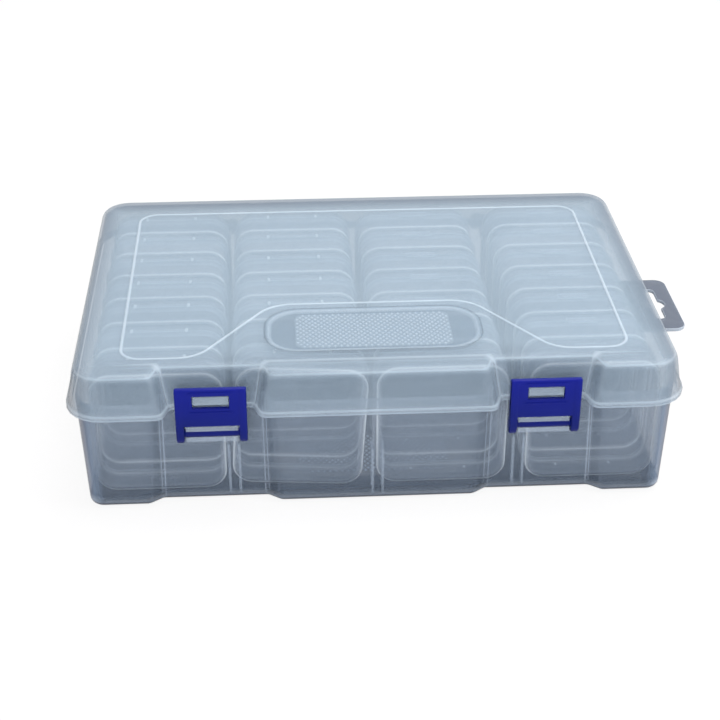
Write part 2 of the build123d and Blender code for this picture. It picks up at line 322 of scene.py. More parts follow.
@dataclass(frozen=True)
class MilkyPlastic(Plastic):
    """Thin translucent polypropylene that turns whiter where it is thick or seen along its wall,
    and along edges where highlights are painted.

    The veil is its colour where the wall is thin, and the white its colour where it is thick.
    The values for the top hold above a height, and blend in from another, in millimetres.
    On the base, the lid and the boxes they are lighter, which is painted light from above.
    """

    veil: Colour
    white: Colour
    body_alpha: float
    thick_alpha: float
    top_veil: Colour
    top_alpha: float
    top_from: float
    top_to: float
    top_milk: float = 1.0
    # Band of painted shade along the sides and back, where there is one.
    border: PaintedShadeBand | None = None
    # Painted shadow: the tray's floor turns darker and denser from floor_from down to floor_to.
    floor_alpha: float | None = None
    floor_shadow_tint: Colour = (0.035, 0.047, 0.075)
    floor_from: float = 3.6
    floor_to: float = 2.0
    roughness: float = 0.3
    gloss: float = 0.4
    refraction: float = 1.49
    drift: float = 0.05
    cloud_scale: float = 38.0
    cloud_roughness: float = 0.1
    bump: float = 0.05
    bump_height: float = 0.8

    def shader(self, sheet: NodeSheet, place: Flow) -> Flow:
        """Builds the surface shader, which reads the surface's own "milk" attribute.

        Args:
            sheet: the material's nodes.
            place: the point on the surface.

        Returns:
            The shader.
        """
        # Whiteness of each point: the plastic's own milkiness where it is thick, with painted
        # highlights along edges.
        mark = sheet.add("ShaderNodeAttribute", output="Fac", attribute_name="milk_and_highlight")
        cloud = sheet.add(
            "ShaderNodeTexNoise", {"Vector": place, "Scale": self.cloud_scale, "Detail": 3.0}
        )
        drift = (cloud - 0.5) * self.drift
        height = sheet.add("ShaderNodeSeparateXYZ", {"Vector": place}, output="Z")
        # Painted light: on the base, the lid and the boxes the top values are lighter, and blend
        # in with height.
        rise = ramp(sheet, height, self.top_from, self.top_to - self.top_from)
        milk_and_highlight = mark * (1.0 - rise * (1.0 - self.top_milk))
        body = sheet.blend(rise, self.veil, self.top_veil)
        thin = self.body_alpha + rise * (self.top_alpha - self.body_alpha)
        alpha = thin + milk_and_highlight * (self.thick_alpha - thin) + drift
        if self.border is not None:
            body, alpha = self.border.lay(sheet, height, body, alpha, milk_and_highlight, thin)
        colour = sheet.blend((milk_and_highlight + drift).clamped(), body, self.white)
        # Painted shadow: darker and denser towards the tray's floor.
        if self.floor_alpha is not None:
            ends = {1: self.floor_from * MM, 2: self.floor_to * MM, 3: 0.0, 4: 1.0}
            low = sheet.add("ShaderNodeMapRange", {"Value": height, **ends})
            colour = sheet.blend(low, colour, self.floor_shadow_tint)
            alpha = alpha + low * (self.floor_alpha - thin)
        bump = sheet.add(
            "ShaderNodeBump",
            {"Height": cloud, "Strength": self.bump, "Distance": self.bump_height * MM},
        )
        return sheet.add(
            "ShaderNodeBsdfPrincipled",
            {
                "Base Color": colour,
                "Roughness": self.roughness + (cloud - 0.5) * self.cloud_roughness,
                "Alpha": alpha.clamped(),
                "Normal": bump,
                "IOR": self.refraction,
                "Specular IOR Level": self.gloss,
            },
        )


@dataclass(frozen=True)
class BluePlastic(Plastic):
    """Solid royal blue polypropylene with a satin moulded skin, with painted light that makes it
    paler towards its top.
    """

    deep: Colour = (0.001, 0.006, 0.098)
    # Painted light: the blue turns paler from pale_from up to pale_to.
    pale: Colour = (0.001, 0.005, 0.2)
    pale_from: float = 34.0
    pale_to: float = 59.0
    pale_share: float = 0.8
    cloud_scale: float = 60.0
    cloud_share: float = 0.5
    roughness: float = 0.36
    cloud_roughness: float = 0.2
    gloss: float = 0.14
    grain_scale: float = 1400.0
    bump: float = 0.12
    bump_height: float = 0.1

    def shader(self, sheet: NodeSheet, place: Flow) -> Flow:
        """Builds the surface shader.

        Args:
            sheet: the material's nodes.
            place: the point on the surface.

        Returns:
            The shader.
        """
        cloud = sheet.add(
            "ShaderNodeTexNoise", {"Vector": place, "Scale": self.cloud_scale, "Detail": 4.0}
        )
        grain = sheet.add("ShaderNodeTexNoise", {"Vector": place, "Scale": self.grain_scale})
        height = sheet.add("ShaderNodeSeparateXYZ", {"Vector": place}, output="Z")
        # Painted light: paler towards the top.
        rise = ramp(sheet, height, self.pale_from, self.pale_to - self.pale_from)
        bump = sheet.add(
            "ShaderNodeBump",
            {"Height": grain, "Strength": self.bump, "Distance": self.bump_height * MM},
        )
        share = (rise * self.pale_share + (cloud - 0.5) * self.cloud_share).clamped()
        return sheet.add(
            "ShaderNodeBsdfPrincipled",
            {
                "Base Color": sheet.blend(share, self.deep, self.pale),
                "Roughness": self.roughness + (cloud - 0.5) * self.cloud_roughness,
                "Normal": bump,
                "Specular IOR Level": self.gloss,
            },
        )


# Painted light: the wall turns lighter from the foot up to the brim. Painted shadow darkens its
# floor, and its border band is painted shade.
BASE_PLASTIC = MilkyPlastic(
    "base_milky_plastic",
    veil=(0.138, 0.190, 0.272),
    white=(0.66, 0.75, 0.86),
    body_alpha=0.10,
    thick_alpha=0.8,
    top_veil=(0.18, 0.24, 0.325),
    top_alpha=0.10,
    top_from=8.0,
    top_to=50.0,
    floor_alpha=0.75,
    border=PaintedShadeBand(
        alpha=0.44,
        veil=(0.115, 0.16, 0.235),
        side=112.2,
        width=4.2,
        share=0.7,
        back=77.0,
        front=72.0,
        front_width=7.0,
        corner_alpha=0.8,
        painted_edge_shade=(0.035, 0.052, 0.1),
        edge_side=116.0,
        edge_width=2.6,
    ),
)
TAB_PLASTIC = replace(
    BASE_PLASTIC,
    name="tab_milky_plastic",
    body_alpha=0.5,
    top_veil=(0.07, 0.092, 0.135),
    top_alpha=0.76,
    top_from=30.0,
    top_to=40.0,
    floor_alpha=None,
    border=None,
)
# Painted light: the lid's flat top is lighter than its skirt. Its border band is painted shade.
LID_PLASTIC = MilkyPlastic(
    "lid_milky_plastic",
    veil=(0.265, 0.352, 0.440),
    white=(0.80, 0.88, 0.95),
    body_alpha=0.28,
    thick_alpha=0.85,
    top_veil=(0.376, 0.482, 0.577),
    top_alpha=0.365,
    top_from=60.4,
    top_to=62.0,
    border=PaintedShadeBand(
        alpha=0.55,
        veil=(0.165, 0.215, 0.275),
        side=110.5,
        width=8.0,
        share=0.9,
        front_share=0.3,
    ),
)
# Painted light: the boxes turn paler towards their tops.
BOX_PLASTIC = MilkyPlastic(
    "box_milky_plastic",
    veil=(0.14, 0.195, 0.28),
    white=(0.94, 0.98, 1.0),
    body_alpha=0.08,
    thick_alpha=1.0,
    top_veil=(0.385, 0.48, 0.59),
    top_alpha=0.09,
    top_from=34.0,
    top_to=59.0,
    top_milk=0.72,
)
BLUE_PLASTIC = BluePlastic("latch_blue_plastic")


# ---- Outlines and skins --------------------------------------------------------------------


@dataclass
class Outline:
    """Closed flat outline, counter-clockwise, with how milky each of its points looks, painted
    highlights included.
    """

    points: list[Vector]
    marks: list[float] = field(default_factory=list)

    def __post_init__(self) -> None:
        """Leaves an outline clear that comes without marks."""
        self.marks = self.marks or [0.0] * len(self.points)

    def moved(self, x: float, y: float) -> "Outline":
        """The same outline at another place."""
        return Outline([point + Vector((x, y)) for point in self.points], self.marks)

    def offset(self, inward: float) -> "Outline":
        """Moves every point square to the outline.

        Args:
            inward: how far, towards the inside.

        Returns:
            The moved outline, with as many points.
        """
        moved = []
        count = len(self.points)
        for index, point in enumerate(self.points):
            before = (point - self.points[index - 1]).normalized()
            after = (self.points[(index + 1) % count] - point).normalized()
            middle = (before + after).normalized()
            square = Vector((-middle.y, middle.x))
            stretch = 1.0 / max(LEAST_BEND, middle.dot(after))
            moved.append(point + square * inward * stretch)
        return Outline(moved, self.marks)

    def towards(self, other: "Outline", share: float) -> "Outline":
        """Blends with another outline of as many points.

        Args:
            other: the outline at share 1.
            share: from 0 to 1.

        Returns:
            The blended outline.
        """
        points = [a.lerp(b, share) for a, b in zip(self.points, other.points)]
        marks = [a + (b - a) * share for a, b in zip(self.marks, other.marks)]
        return Outline(points, marks)


# Outline, depth and milkiness of one ring of a surface.
Row = tuple[Outline, float, float]


def rounded(corners: Sequence[Corner], steps: int = 6, marks: Sequence[float] = ()) -> Outline:
    """Makes an outline whose corners are arcs.

    Args:
        corners: x, y and radius of each corner, counter-clockwise.
        steps: flats in each arc.
        marks: milkiness of the middle of each corner's arc, none where empty.

    Returns:
        The outline.
    """
    points: list[Vector] = []
    milk_and_highlight: list[float] = []
    count = len(corners)
    for index, (x, y, radius) in enumerate(corners):
        here = Vector((x, y))
        before = (Vector(corners[index - 1][:2]) - here).normalized()
        after = (Vector(corners[(index + 1) % count][:2]) - here).normalized()
        half = before.angle(after) / 2
        start = here + before * radius / math.tan(half)
        centre = here + (before + after).normalized() * radius / math.sin(half)
        arm = start - centre
        end = here + after * radius / math.tan(half) - centre
        sweep = math.atan2(arm.x * end.y - arm.y * end.x, arm.dot(end))
        for step in range(steps + 1):
            turn = Matrix.Rotation(sweep * step / steps, 2)
            points.append(centre + turn @ arm)
            crest = max(0.0, 1.0 - CREST_FALL * abs(2.0 * step / steps - 1.0))
            milk_and_highlight.append(marks[index] * crest if marks else 0.0)
    return Outline(points, milk_and_highlight)


def rectangle(
    left: float, right: float, low: float, high: float, radius: float, steps: int = 6
) -> Outline:
    """Rounded rectangle between two sides and two levels.

    Args:
        left: smallest first coordinate.
        right: largest first coordinate.
        low: smallest second coordinate.
        high: largest second coordinate.
        radius: of its corners.
        steps: flats in each corner.

    Returns:
        The outline.
    """
    corners = [(left, low), (right, low), (right, high), (left, high)]
    return rounded([(x, y, radius) for x, y in corners], steps)


def rounded_box(width: float, height: float, radius: float, steps: int = 6) -> Outline:
    """Rounded rectangle about the origin."""
    return rectangle(-width / 2, width / 2, -height / 2, height / 2, radius, steps)


def disc(centre: Spot, radius: float) -> Outline:
    """Round outline of a pin, a bar or a bore."""
    return rounded_box(2 * radius, 2 * radius, radius - 0.01, 5).moved(*centre)


def arc(
    centre: Spot, radius: float, start: float, sweep: float, count: int, rise: float | None = None
) -> list[Vector]:
    """Points along an arc, with both of its ends.

    Args:
        centre: of the arc.
        radius: along the first axis.
        start: angle of the first point.
        sweep: angle from the first point to the last.
        count: flats in the arc.
        rise: radius along the second axis, where it is another one.

    Returns:
        The points.
    """
    tall = radius if rise is None else rise
    angles = [start + sweep * step / count for step in range(count + 1)]
    return [
        Vector((centre[0] + radius * math.cos(a), centre[1] + tall * math.sin(a))) for a in angles
    ]


def edge_steps(radius: float, steps: int = 5) -> list[tuple[float, float]]:
    """Rounded edge as pairs of rise above the flat and inset from the side.

    Args:
        radius: of the rounding.
        steps: flats in it.

    Returns:
        The pairs, from the flat to the side.
    """
    angles = [math.pi / 2 * step / steps for step in range(steps + 1)]
    return [(radius * (1 - math.cos(a)), radius * (1 - math.sin(a))) for a in angles]


class Facing(Enum):
    """How a flat outline stands: which axis each of its sizes runs along."""

    UP = "outline in X and Y, depth along Z"
    FRONT = "outline in X and Z, depth along Y"
    SIDE = "outline in Y and Z, depth along X"

    def point(self, flat: Vector, depth: float) -> Vector:
        """Places a point of an outline.

        Args:
            flat: the point in the outline.
            depth: along the third axis.

        Returns:
            The point in space.
        """
        if self is Facing.UP:
            return Vector((flat.x, flat.y, depth))
        if self is Facing.FRONT:
            return Vector((flat.x, depth, flat.y))
        return Vector((depth, flat.x, flat.y))


@dataclass(frozen=True)
class Moulding:
    """Radius of a flat piece's edges, and how milky its faces and its edges look, painted
    highlights included.
    """

    edge: float
    milk_and_highlight: float = 0.0
    edge_milk_and_highlight: float = 0.0


class Skin:
    """Points, faces and milkiness, painted highlights included, of a surface that is being built.
    """

    def __init__(self) -> None:
        """Starts empty."""
        self.points: list[Vector] = []
        self.milk_and_highlight: list[float] = []
        self.faces: list[tuple[int, ...]] = []

    def ring(
        self, outline: Outline, depth: float, milk_and_highlight: float = 0.0, facing: Facing = Facing.UP
    ) -> list[int]:
        """Adds an outline's points at a depth.

        Args:
            outline: the flat outline.
            depth: its place along the third axis.
            milk_and_highlight: milkiness of the whole ring.
            facing: how the outline stands.

        Returns:
            The points' numbers.
        """
        first = len(self.points)
        self.points += [facing.point(point, depth) for point in outline.points]
        self.milk_and_highlight += [max(milk_and_highlight, mark) for mark in outline.marks]
        return list(range(first, len(self.points)))

    def wrap(self, rings: Sequence[list[int]]) -> None:
        """Joins each ring to the next with four-sided faces.

        Args:
            rings: the rings, all with as many points.
        """
        for lower, upper in zip(rings, rings[1:]):
            count = len(lower)
            for index in range(count):
                after = (index + 1) % count
                self.faces.append((lower[index], lower[after], upper[after], upper[index]))

    def band(
        self, rows: Sequence[Row], facing: Facing = Facing.UP, start: Sequence[list[int]] = ()
    ) -> list[list[int]]:
        """Adds rings and joins them.

        Args:
            rows: outline, depth and milkiness of each ring.
            facing: how the outlines stand.
            start: rings that are there already and come first.

        Returns:
            All of the rings.
        """
        rings = [*start, *(self.ring(*row, facing) for row in rows)]
        self.wrap(rings)
        return rings

    def fill(self, *loops: list[int]) -> None:
        """Closes the flat space inside the first loop and outside the others.

        Args:
            loops: the points' numbers, loop by loop.
        """
        flat = [number for loop in loops for number in loop]
        sheets = [[self.points[number] for number in loop] for loop in loops]
        for triangle in tessellate_polygon(sheets):
            self.faces.append(tuple(flat[corner] for corner in triangle))

    def slab(
        self,
        outline: Outline,
        ends: Spot,
        cut: Moulding,
        facing: Facing = Facing.UP,
        holes: Sequence[Outline] = (),
    ) -> None:
        """Adds a flat piece with rounded edges.

        Args:
            outline: its outside.
            ends: the depths of its two faces.
            cut: how it is moulded.
            facing: how the outline stands.
            holes: openings through it.
        """
        low, high = min(ends), max(ends)
        turn = edge_steps(cut.edge, 3)
        profile = [(high - rise, inset) for rise, inset in turn]
        profile += [(low + rise, inset) for rise, inset in reversed(turn)]
        walls = []
        for shape, sign in [(outline, 1.0), *((hole, -1.0) for hole in holes)]:
            rows = []
            for depth, inset in profile:
                glow = cut.edge_milk_and_highlight if 0.0 < abs(depth - high) < high - low else cut.milk_and_highlight
                rows.append((shape.offset(sign * inset), depth, glow))
            walls.append(self.band(rows, facing))
        self.fill(*(rings[0] for rings in walls))
        self.fill(*(rings[-1] for rings in walls))

    def mesh(self, name: str) -> bpy.types.Mesh:
        """Writes the surface as a mesh."""
        return plain_mesh(name, self.points, self.faces, self.milk_and_highlight)

    def piece(self, name: str, finish: Plastic) -> bpy.types.Object:
        """Writes the surface as an object.

        Args:
            name: of the object.
            finish: what it is made of.

        Returns:
            The object.
        """
        return shown(name, self.mesh(name), finish)


def plain_mesh(
    name: str, points: Sequence[Vector], faces: Sequence[tuple[int, ...]], milk_and_highlight: Sequence[float]
) -> bpy.types.Mesh:
    """Writes a closed mesh, with no double points and with its faces outwards.

    Args:
        name: of the mesh.
        points: in millimetres.
        faces: as numbers of points.
        milk_and_highlight: milkiness of each point.

    Returns:
        The smooth mesh, in metres.
    """
    made = bpy.data.meshes.new(name)
    made.from_pydata([point * MM for point in points], [], faces)
    # Each point's whiteness: the plastic's own milkiness where it is thick, with painted
    # highlights along edges.
    made.attributes.new("milk_and_highlight", "FLOAT", "POINT").data.foreach_set("value", milk_and_highlight)
    work = bmesh.new()
    work.from_mesh(made)
    bmesh.ops.remove_doubles(work, verts=work.verts, dist=1e-7)
    bmesh.ops.recalc_face_normals(work, faces=work.faces)
    work.to_mesh(made)
    work.free()
    smooth(made)
    return made


def smooth(mesh: bpy.types.Mesh) -> None:
    """Smooths a mesh but for its sharp edges."""
    mesh.shade_smooth()
    mesh.set_sharp_from_angle(angle=SHARP)


def shown(name: str, mesh: bpy.types.Mesh, finish: Plastic) -> bpy.types.Object:
    """Links a mesh to the scene.

    Args:
        name: of the object.
        mesh: its mesh.
        finish: what it is made of.

    Returns:
        The object, at the origin.
    """
    mesh.materials.clear()
    mesh.materials.append(finish.material())
    made = bpy.data.objects.new(name, mesh)
    bpy.context.scene.collection.objects.link(made)
    return made


# ---- Repeated details ----------------------------------------------------------------------


class NodeRecipe:
    """A Geometry Nodes tree whose named inputs are its sizes."""

    def __init__(self, name: str, inputs: dict[str, str]) -> None:
        """Starts a tree with a geometry input and named sizes.

        Args:
            name: of the tree.
            inputs: socket type of each size, by name.
        """
        self.tree = bpy.data.node_groups.new(name, "GeometryNodeTree")
        face = self.tree.interface
        face.new_socket("Geometry", in_out="INPUT", socket_type="NodeSocketGeometry")
        for label, kind in inputs.items():
            face.new_socket(label, in_out="INPUT", socket_type=kind)
        face.new_socket("Geometry", in_out="OUTPUT", socket_type="NodeSocketGeometry")
        self.sheet = NodeSheet(self.tree)
        self.source = self.tree.nodes.new("NodeGroupInput")

    def size(self, label: str) -> Flow:
        """The input of that name."""
        return Flow(self.tree, self.source.outputs[label])

    def finish(self, geometry: Flow, material: bpy.types.Material) -> None:
        """Ends the tree.

        Args:
            geometry: what it has made.
            material: what that is made of.
        """
        real = self.sheet.add("GeometryNodeRealizeInstances", {"Geometry": geometry})
        dressed = self.sheet.add(
            "GeometryNodeSetMaterial", {"Geometry": real, "Material": material}
        )
        self.sheet.add("NodeGroupOutput", {"Geometry": dressed})

    def apply(self, seed: bpy.types.Object, sizes: dict[str, object]) -> bpy.types.Object:
        """Runs the tree on an object and keeps the result as its plain mesh.

        Args:
            seed: the object that holds one copy.
            sizes: the values of the named inputs.

        Returns:
            The same object, with the whole pattern.
        """
        step = seed.modifiers.new(self.tree.name, "NODES")
        step.node_group = self.tree
        sockets = {
            item.name: item.identifier
            for item in self.tree.interface.items_tree
            if item.in_out == "INPUT"
        }
        for label, value in sizes.items():
            step[sockets[label]] = value
        graph = bpy.context.evaluated_depsgraph_get()
        graph.update()
        result = bpy.data.meshes.new_from_object(seed.evaluated_get(graph), depsgraph=graph)
        seed.modifiers.remove(step)
        seed.data = result
        smooth(result)
        return seed


def row_recipe(material: bpy.types.Material) -> NodeRecipe:
    """Tree that repeats a shape along a line.

    Args:
        material: what the copies are made of.

    Returns:
        The tree, with inputs Count, Start and Step.
    """
    kinds = {"Count": "NodeSocketInt", "Start": "NodeSocketVector", "Step": "NodeSocketVector"}
    recipe = NodeRecipe("row_of_copies", kinds)
    line = recipe.sheet.add(
        "GeometryNodeMeshLine",
        {
            "Count": recipe.size("Count"),
            "Start Location": recipe.size("Start"),
            "Offset": recipe.size("Step"),
        },
    )
    copies = recipe.sheet.add(
        "GeometryNodeInstanceOnPoints", {"Points": line, "Instance": recipe.size("Geometry")}
    )
    recipe.finish(copies, material)
    return recipe


def field_recipe(material: bpy.types.Material) -> NodeRecipe:
    """Tree that fills a rounded rectangle with a staggered field of a shape.

    Args:
        material: what the copies are made of.

    Returns:
        The tree, with inputs Columns, Rows, Pitch, Centre, Half Size and Corner.
    """
    kinds = {
        "Columns": "NodeSocketInt",
        "Rows": "NodeSocketInt",
        "Pitch": "NodeSocketVector",
        "Centre": "NodeSocketVector",
        "Half Size": "NodeSocketVector",
        "Corner": "NodeSocketFloat",
    }
    recipe = NodeRecipe("field_of_copies", kinds)
    sheet = recipe.sheet
    columns, rows = recipe.size("Columns"), recipe.size("Rows")
    pitch = sheet.add("ShaderNodeSeparateXYZ", {"Vector": recipe.size("Pitch")})
    pitch_y = pitch.twin("Y")
    grids = []
    for shift in (0.0, 0.5):
        grid = sheet.add(
            "GeometryNodeMeshGrid",
            {
                "Size X": (columns - 1) * pitch,
                "Size Y": (rows - 1) * pitch_y,
                "Vertices X": columns,
                "Vertices Y": rows,
            },
        )
        slide = sheet.add(
            "ShaderNodeVectorMath",
            {0: recipe.size("Pitch"), "Scale": shift},
            operation="SCALE",
        )
        place = sheet.add("ShaderNodeVectorMath", {0: recipe.size("Centre"), 1: slide})
        grids.append(
            sheet.add("GeometryNodeTransform", {"Geometry": grid, "Translation": place})
        )
    both = sheet.add("GeometryNodeJoinGeometry")
    for grid in grids:
        recipe.tree.links.new(grid.socket, both.socket.node.inputs[0])
    position = sheet.add("GeometryNodeInputPosition")
    from_centre = sheet.add(
        "ShaderNodeVectorMath", {0: position, 1: recipe.size("Centre")}, operation="SUBTRACT"
    )
    folded = sheet.add("ShaderNodeVectorMath", {0: from_centre}, operation="ABSOLUTE")
    past = sheet.add(
        "ShaderNodeVectorMath", {0: folded, 1: recipe.size("Half Size")}, operation="SUBTRACT"
    )
    inside = sheet.add("ShaderNodeSeparateXYZ", {"Vector": past})
    corner = recipe.size("Corner")
    past_x = (inside + corner).math("MAXIMUM", 0.0)
    past_y = (inside.twin("Y") + corner).math("MAXIMUM", 0.0)
    outside = (past_x**2 + past_y**2).math("SQRT").math("GREATER_THAN", corner)
    kept = sheet.add(
        "GeometryNodeDeleteGeometry", {"Geometry": both, "Selection": outside}, domain="POINT"
    )
    copies = sheet.add(
        "GeometryNodeInstanceOnPoints", {"Points": kept, "Instance": recipe.size("Geometry")}
    )
    recipe.finish(copies, material)
    return recipe


# ---- The case ------------------------------------------------------------------------------


@dataclass(frozen=True)
class CasePlan:
    """Plan outlines and axes that the base, the lid and the latches share."""

    half_width: float = 121.1
    half_depth: float = 85.35
    height: float = 63.0
    brim: float = 50.0
    rim: float = 45.0
    flare: float = 2.6
    skirt_flare: float = 3.0
    corner: float = 12.0
    foot_corner: float = 6.0
    least_corner: float = 0.4
    latch_x: float = 66.6
    depth: float = 8.4
    half: float = 20.4
    flank: float = 2.6
    foot_depth: float = 4.0
    foot_half: float = 20.6
    foot_flank: float = 5.4
    mouth: float = 4.0
    least_mouth: float = 0.3
    nook: float = 2.4
    gap: float = 0.9
    lid_wall: float = 1.4
    # Milkiness at the corners of the pressed-in parts, with painted highlights there.
    step_milk_and_highlight: float = 0.5
    mouth_share: float = 0.35
    pivot: Spot = (-84.883, 36.6)
    hinge: Spot = (93.583, 43.8)
    hinge_x: float = 70.0

    @property
    def slope(self) -> float:
        """How far the lid's skirt leans out for each millimetre down."""
        return self.skirt_flare / (self.height - self.rim)

    @property
    def rim_spread(self) -> float:
        """How far the lid's skirt stands outside the brim, at the rim."""
        return self.gap + self.lid_wall + self.slope * (self.brim - self.rim)

    @property
    def latches(self) -> Spot:
        """Middles of the two latches, along X."""
        return (-self.latch_x, self.latch_x)

    @property
    def hinges(self) -> Spot:
        """Middles of the two rear hinges, along X."""
        return (-self.hinge_x, self.hinge_x)

    def skirt(self, height: float) -> float:
        """How far the lid's skirt stands outside the brim at a height."""
        return self.rim_spread - self.slope * (height - self.rim)

    def outline(
        self, spread: float, corner: float, depth: float, half: float, flank: float, inward: float
    ) -> Outline:
        """Outline with a pressed-in part at each latch.

        Args:
            spread: distance outside the brim.
            corner: radius of the four corners.
            depth: of the pressed-in parts.
            half: half width of their flat backs.
            flank: how far their flanks lean out.
            inward: shrinks the whole outline.

        Returns:
            The outline, counter-clockwise.
        """
        side = self.half_width + spread - inward
        end = self.half_depth + spread - inward
        square = max(corner - inward, self.least_corner)
        mouth, nook = max(self.mouth - inward, self.least_mouth), self.nook + inward
        square_at = ((side, -end), (side, end), (-side, end), (-side, -end))
        corners = [(x, y, square) for x, y in square_at]
        marks = [0.0] * len(corners)
        back, mouth_milk_and_highlight = half + inward, self.step_milk_and_highlight * self.mouth_share
        for middle in self.latches:
            corners += [
                (middle - back - flank, -end, mouth),
                (middle - back, depth - end, nook),
                (middle + back, depth - end, nook),
                (middle + back + flank, -end, mouth),
            ]
            marks += [mouth_milk_and_highlight, self.step_milk_and_highlight, self.step_milk_and_highlight, mouth_milk_and_highlight]
        return rounded(corners, 6, marks)

    def at_brim(self, spread: float, inward: float = 0.0) -> Outline:
        """Outline at or above the brim.

        Args:
            spread: distance outside the brim.
            inward: shrinks the outline.

        Returns:
            The outline.
        """
        return self.outline(
            spread, self.corner + spread, self.depth, self.half - spread, self.flank, inward
        )

    def at_skirt(self, height: float, inward: float = 0.0) -> Outline:
        """Outline of the lid's skirt at a height."""
        return self.at_brim(self.skirt(height), inward)

    def at_foot(self, inward: float = 0.0) -> Outline:
        """Outline near the floor.

        Args:
            inward: shrinks the outline.

        Returns:
            The outline.
        """
        return self.outline(
            -self.flare, self.foot_corner, self.foot_depth, self.foot_half, self.foot_flank, inward
        )


@dataclass(frozen=True)
class GripPad:
    """Sunk finger grip with a field of small diamonds."""

    centre_y: float
    length: float = 86.6
    width: float = 33.4
    corner: float = 13.0
    # Painted highlight: the grip turns whiter along its front, from lit_from in front of its
    # middle over lit_width.
    lit_from: float = 6.0
    lit_width: float = 6.0
    front_highlight: float = 0.8
    pitch_x: float = 2.5
    pitch_y: float = 3.3
    stud_half_x: float = 1.05
    stud_half_y: float = 1.45
    stud_height: float = 0.35
    stud_root: float = 0.02
    stud_tip: float = 0.3
    field_half_x: float = 31.3
    field_half_y: float = 13.3
    field_corner: float = 2.5

    def outline(self, margin: float = 0.0) -> Outline:
        """Outline of the grip, grown by a margin."""
        width, depth = self.length + 2 * margin, self.width + 2 * margin
        return rounded_box(width, depth, self.corner + margin, 8).moved(0.0, self.centre_y)

    def knurled(self, margin: float) -> Outline:
        """Outline of the field of diamonds, grown by a margin, with as many points."""
        width, depth = 2 * (self.field_half_x + margin), 2 * (self.field_half_y + margin)
        return rounded_box(width, depth, self.field_corner + margin, 8).moved(0.0, self.centre_y)

    def rings(self, steps: Sequence[Corner], level: float, depth: float) -> list[Row]:
        """Rings of the step round the grip.

        Args:
            steps: margin, share of the depth and milkiness of each ring.
            level: height of the flat round the grip.
            depth: from there up to the grip.

        Returns:
            Outline, height and milkiness of each ring.
        """
        return [(self.outline(out), level + depth * share, milk_and_highlight) for out, share, milk_and_highlight in steps]

    def front_lit(self, margin: float) -> Outline:
        """Outline of the grip with a painted highlight along its front.

        Args:
            margin: grows the outline.

        Returns:
            The outline.
        """
        points = self.outline(margin).points
        start = self.centre_y - self.lit_from
        shares = [min(1.0, max(0.0, (start - point.y) / self.lit_width)) for point in points]
        return Outline(points, [self.front_highlight * share for share in shares])

    def knurl(
        self, name: str, finish: Plastic, level: float, milk_and_highlight: tuple[float, float]
    ) -> bpy.types.Object:
        """Makes the field of diamonds.

        Args:
            name: of the piece.
            finish: what it is made of.
            level: height of the surface that carries them.
            milk_and_highlight: milkiness of their roots and of their tips.

        Returns:
            The piece.
        """
        x, y = self.stud_half_x, self.stud_half_y
        feet = [Vector(foot) for foot in ((x, 0.0), (0.0, y), (-x, 0.0), (0.0, -y))]
        points = [Vector((*foot, -self.stud_root)) for foot in feet]
        points += [Vector((*(foot * self.stud_tip), self.stud_height)) for foot in feet]
        faces = [(4, 5, 6, 7), (3, 2, 1, 0)]
        faces += [(side, (side + 1) % 4, (side + 1) % 4 + 4, side + 4) for side in range(4)]
        mesh = plain_mesh(name, points, faces, [milk_and_highlight[0]] * 4 + [milk_and_highlight[1]] * 4)
        sizes = {
            "Columns": int(2 * self.field_half_x / self.pitch_x) + 1,
            "Rows": int(2 * self.field_half_y / self.pitch_y) + 1,
            "Pitch": (self.pitch_x * MM, self.pitch_y * MM, 0.0),
            "Centre": (0.0, self.centre_y * MM, level * MM),
            "Half Size": (self.field_half_x * MM, self.field_half_y * MM, 1.0),
            "Corner": self.field_corner * MM,
        }
        return field_recipe(finish.material()).apply(shown(name, mesh, finish), sizes)


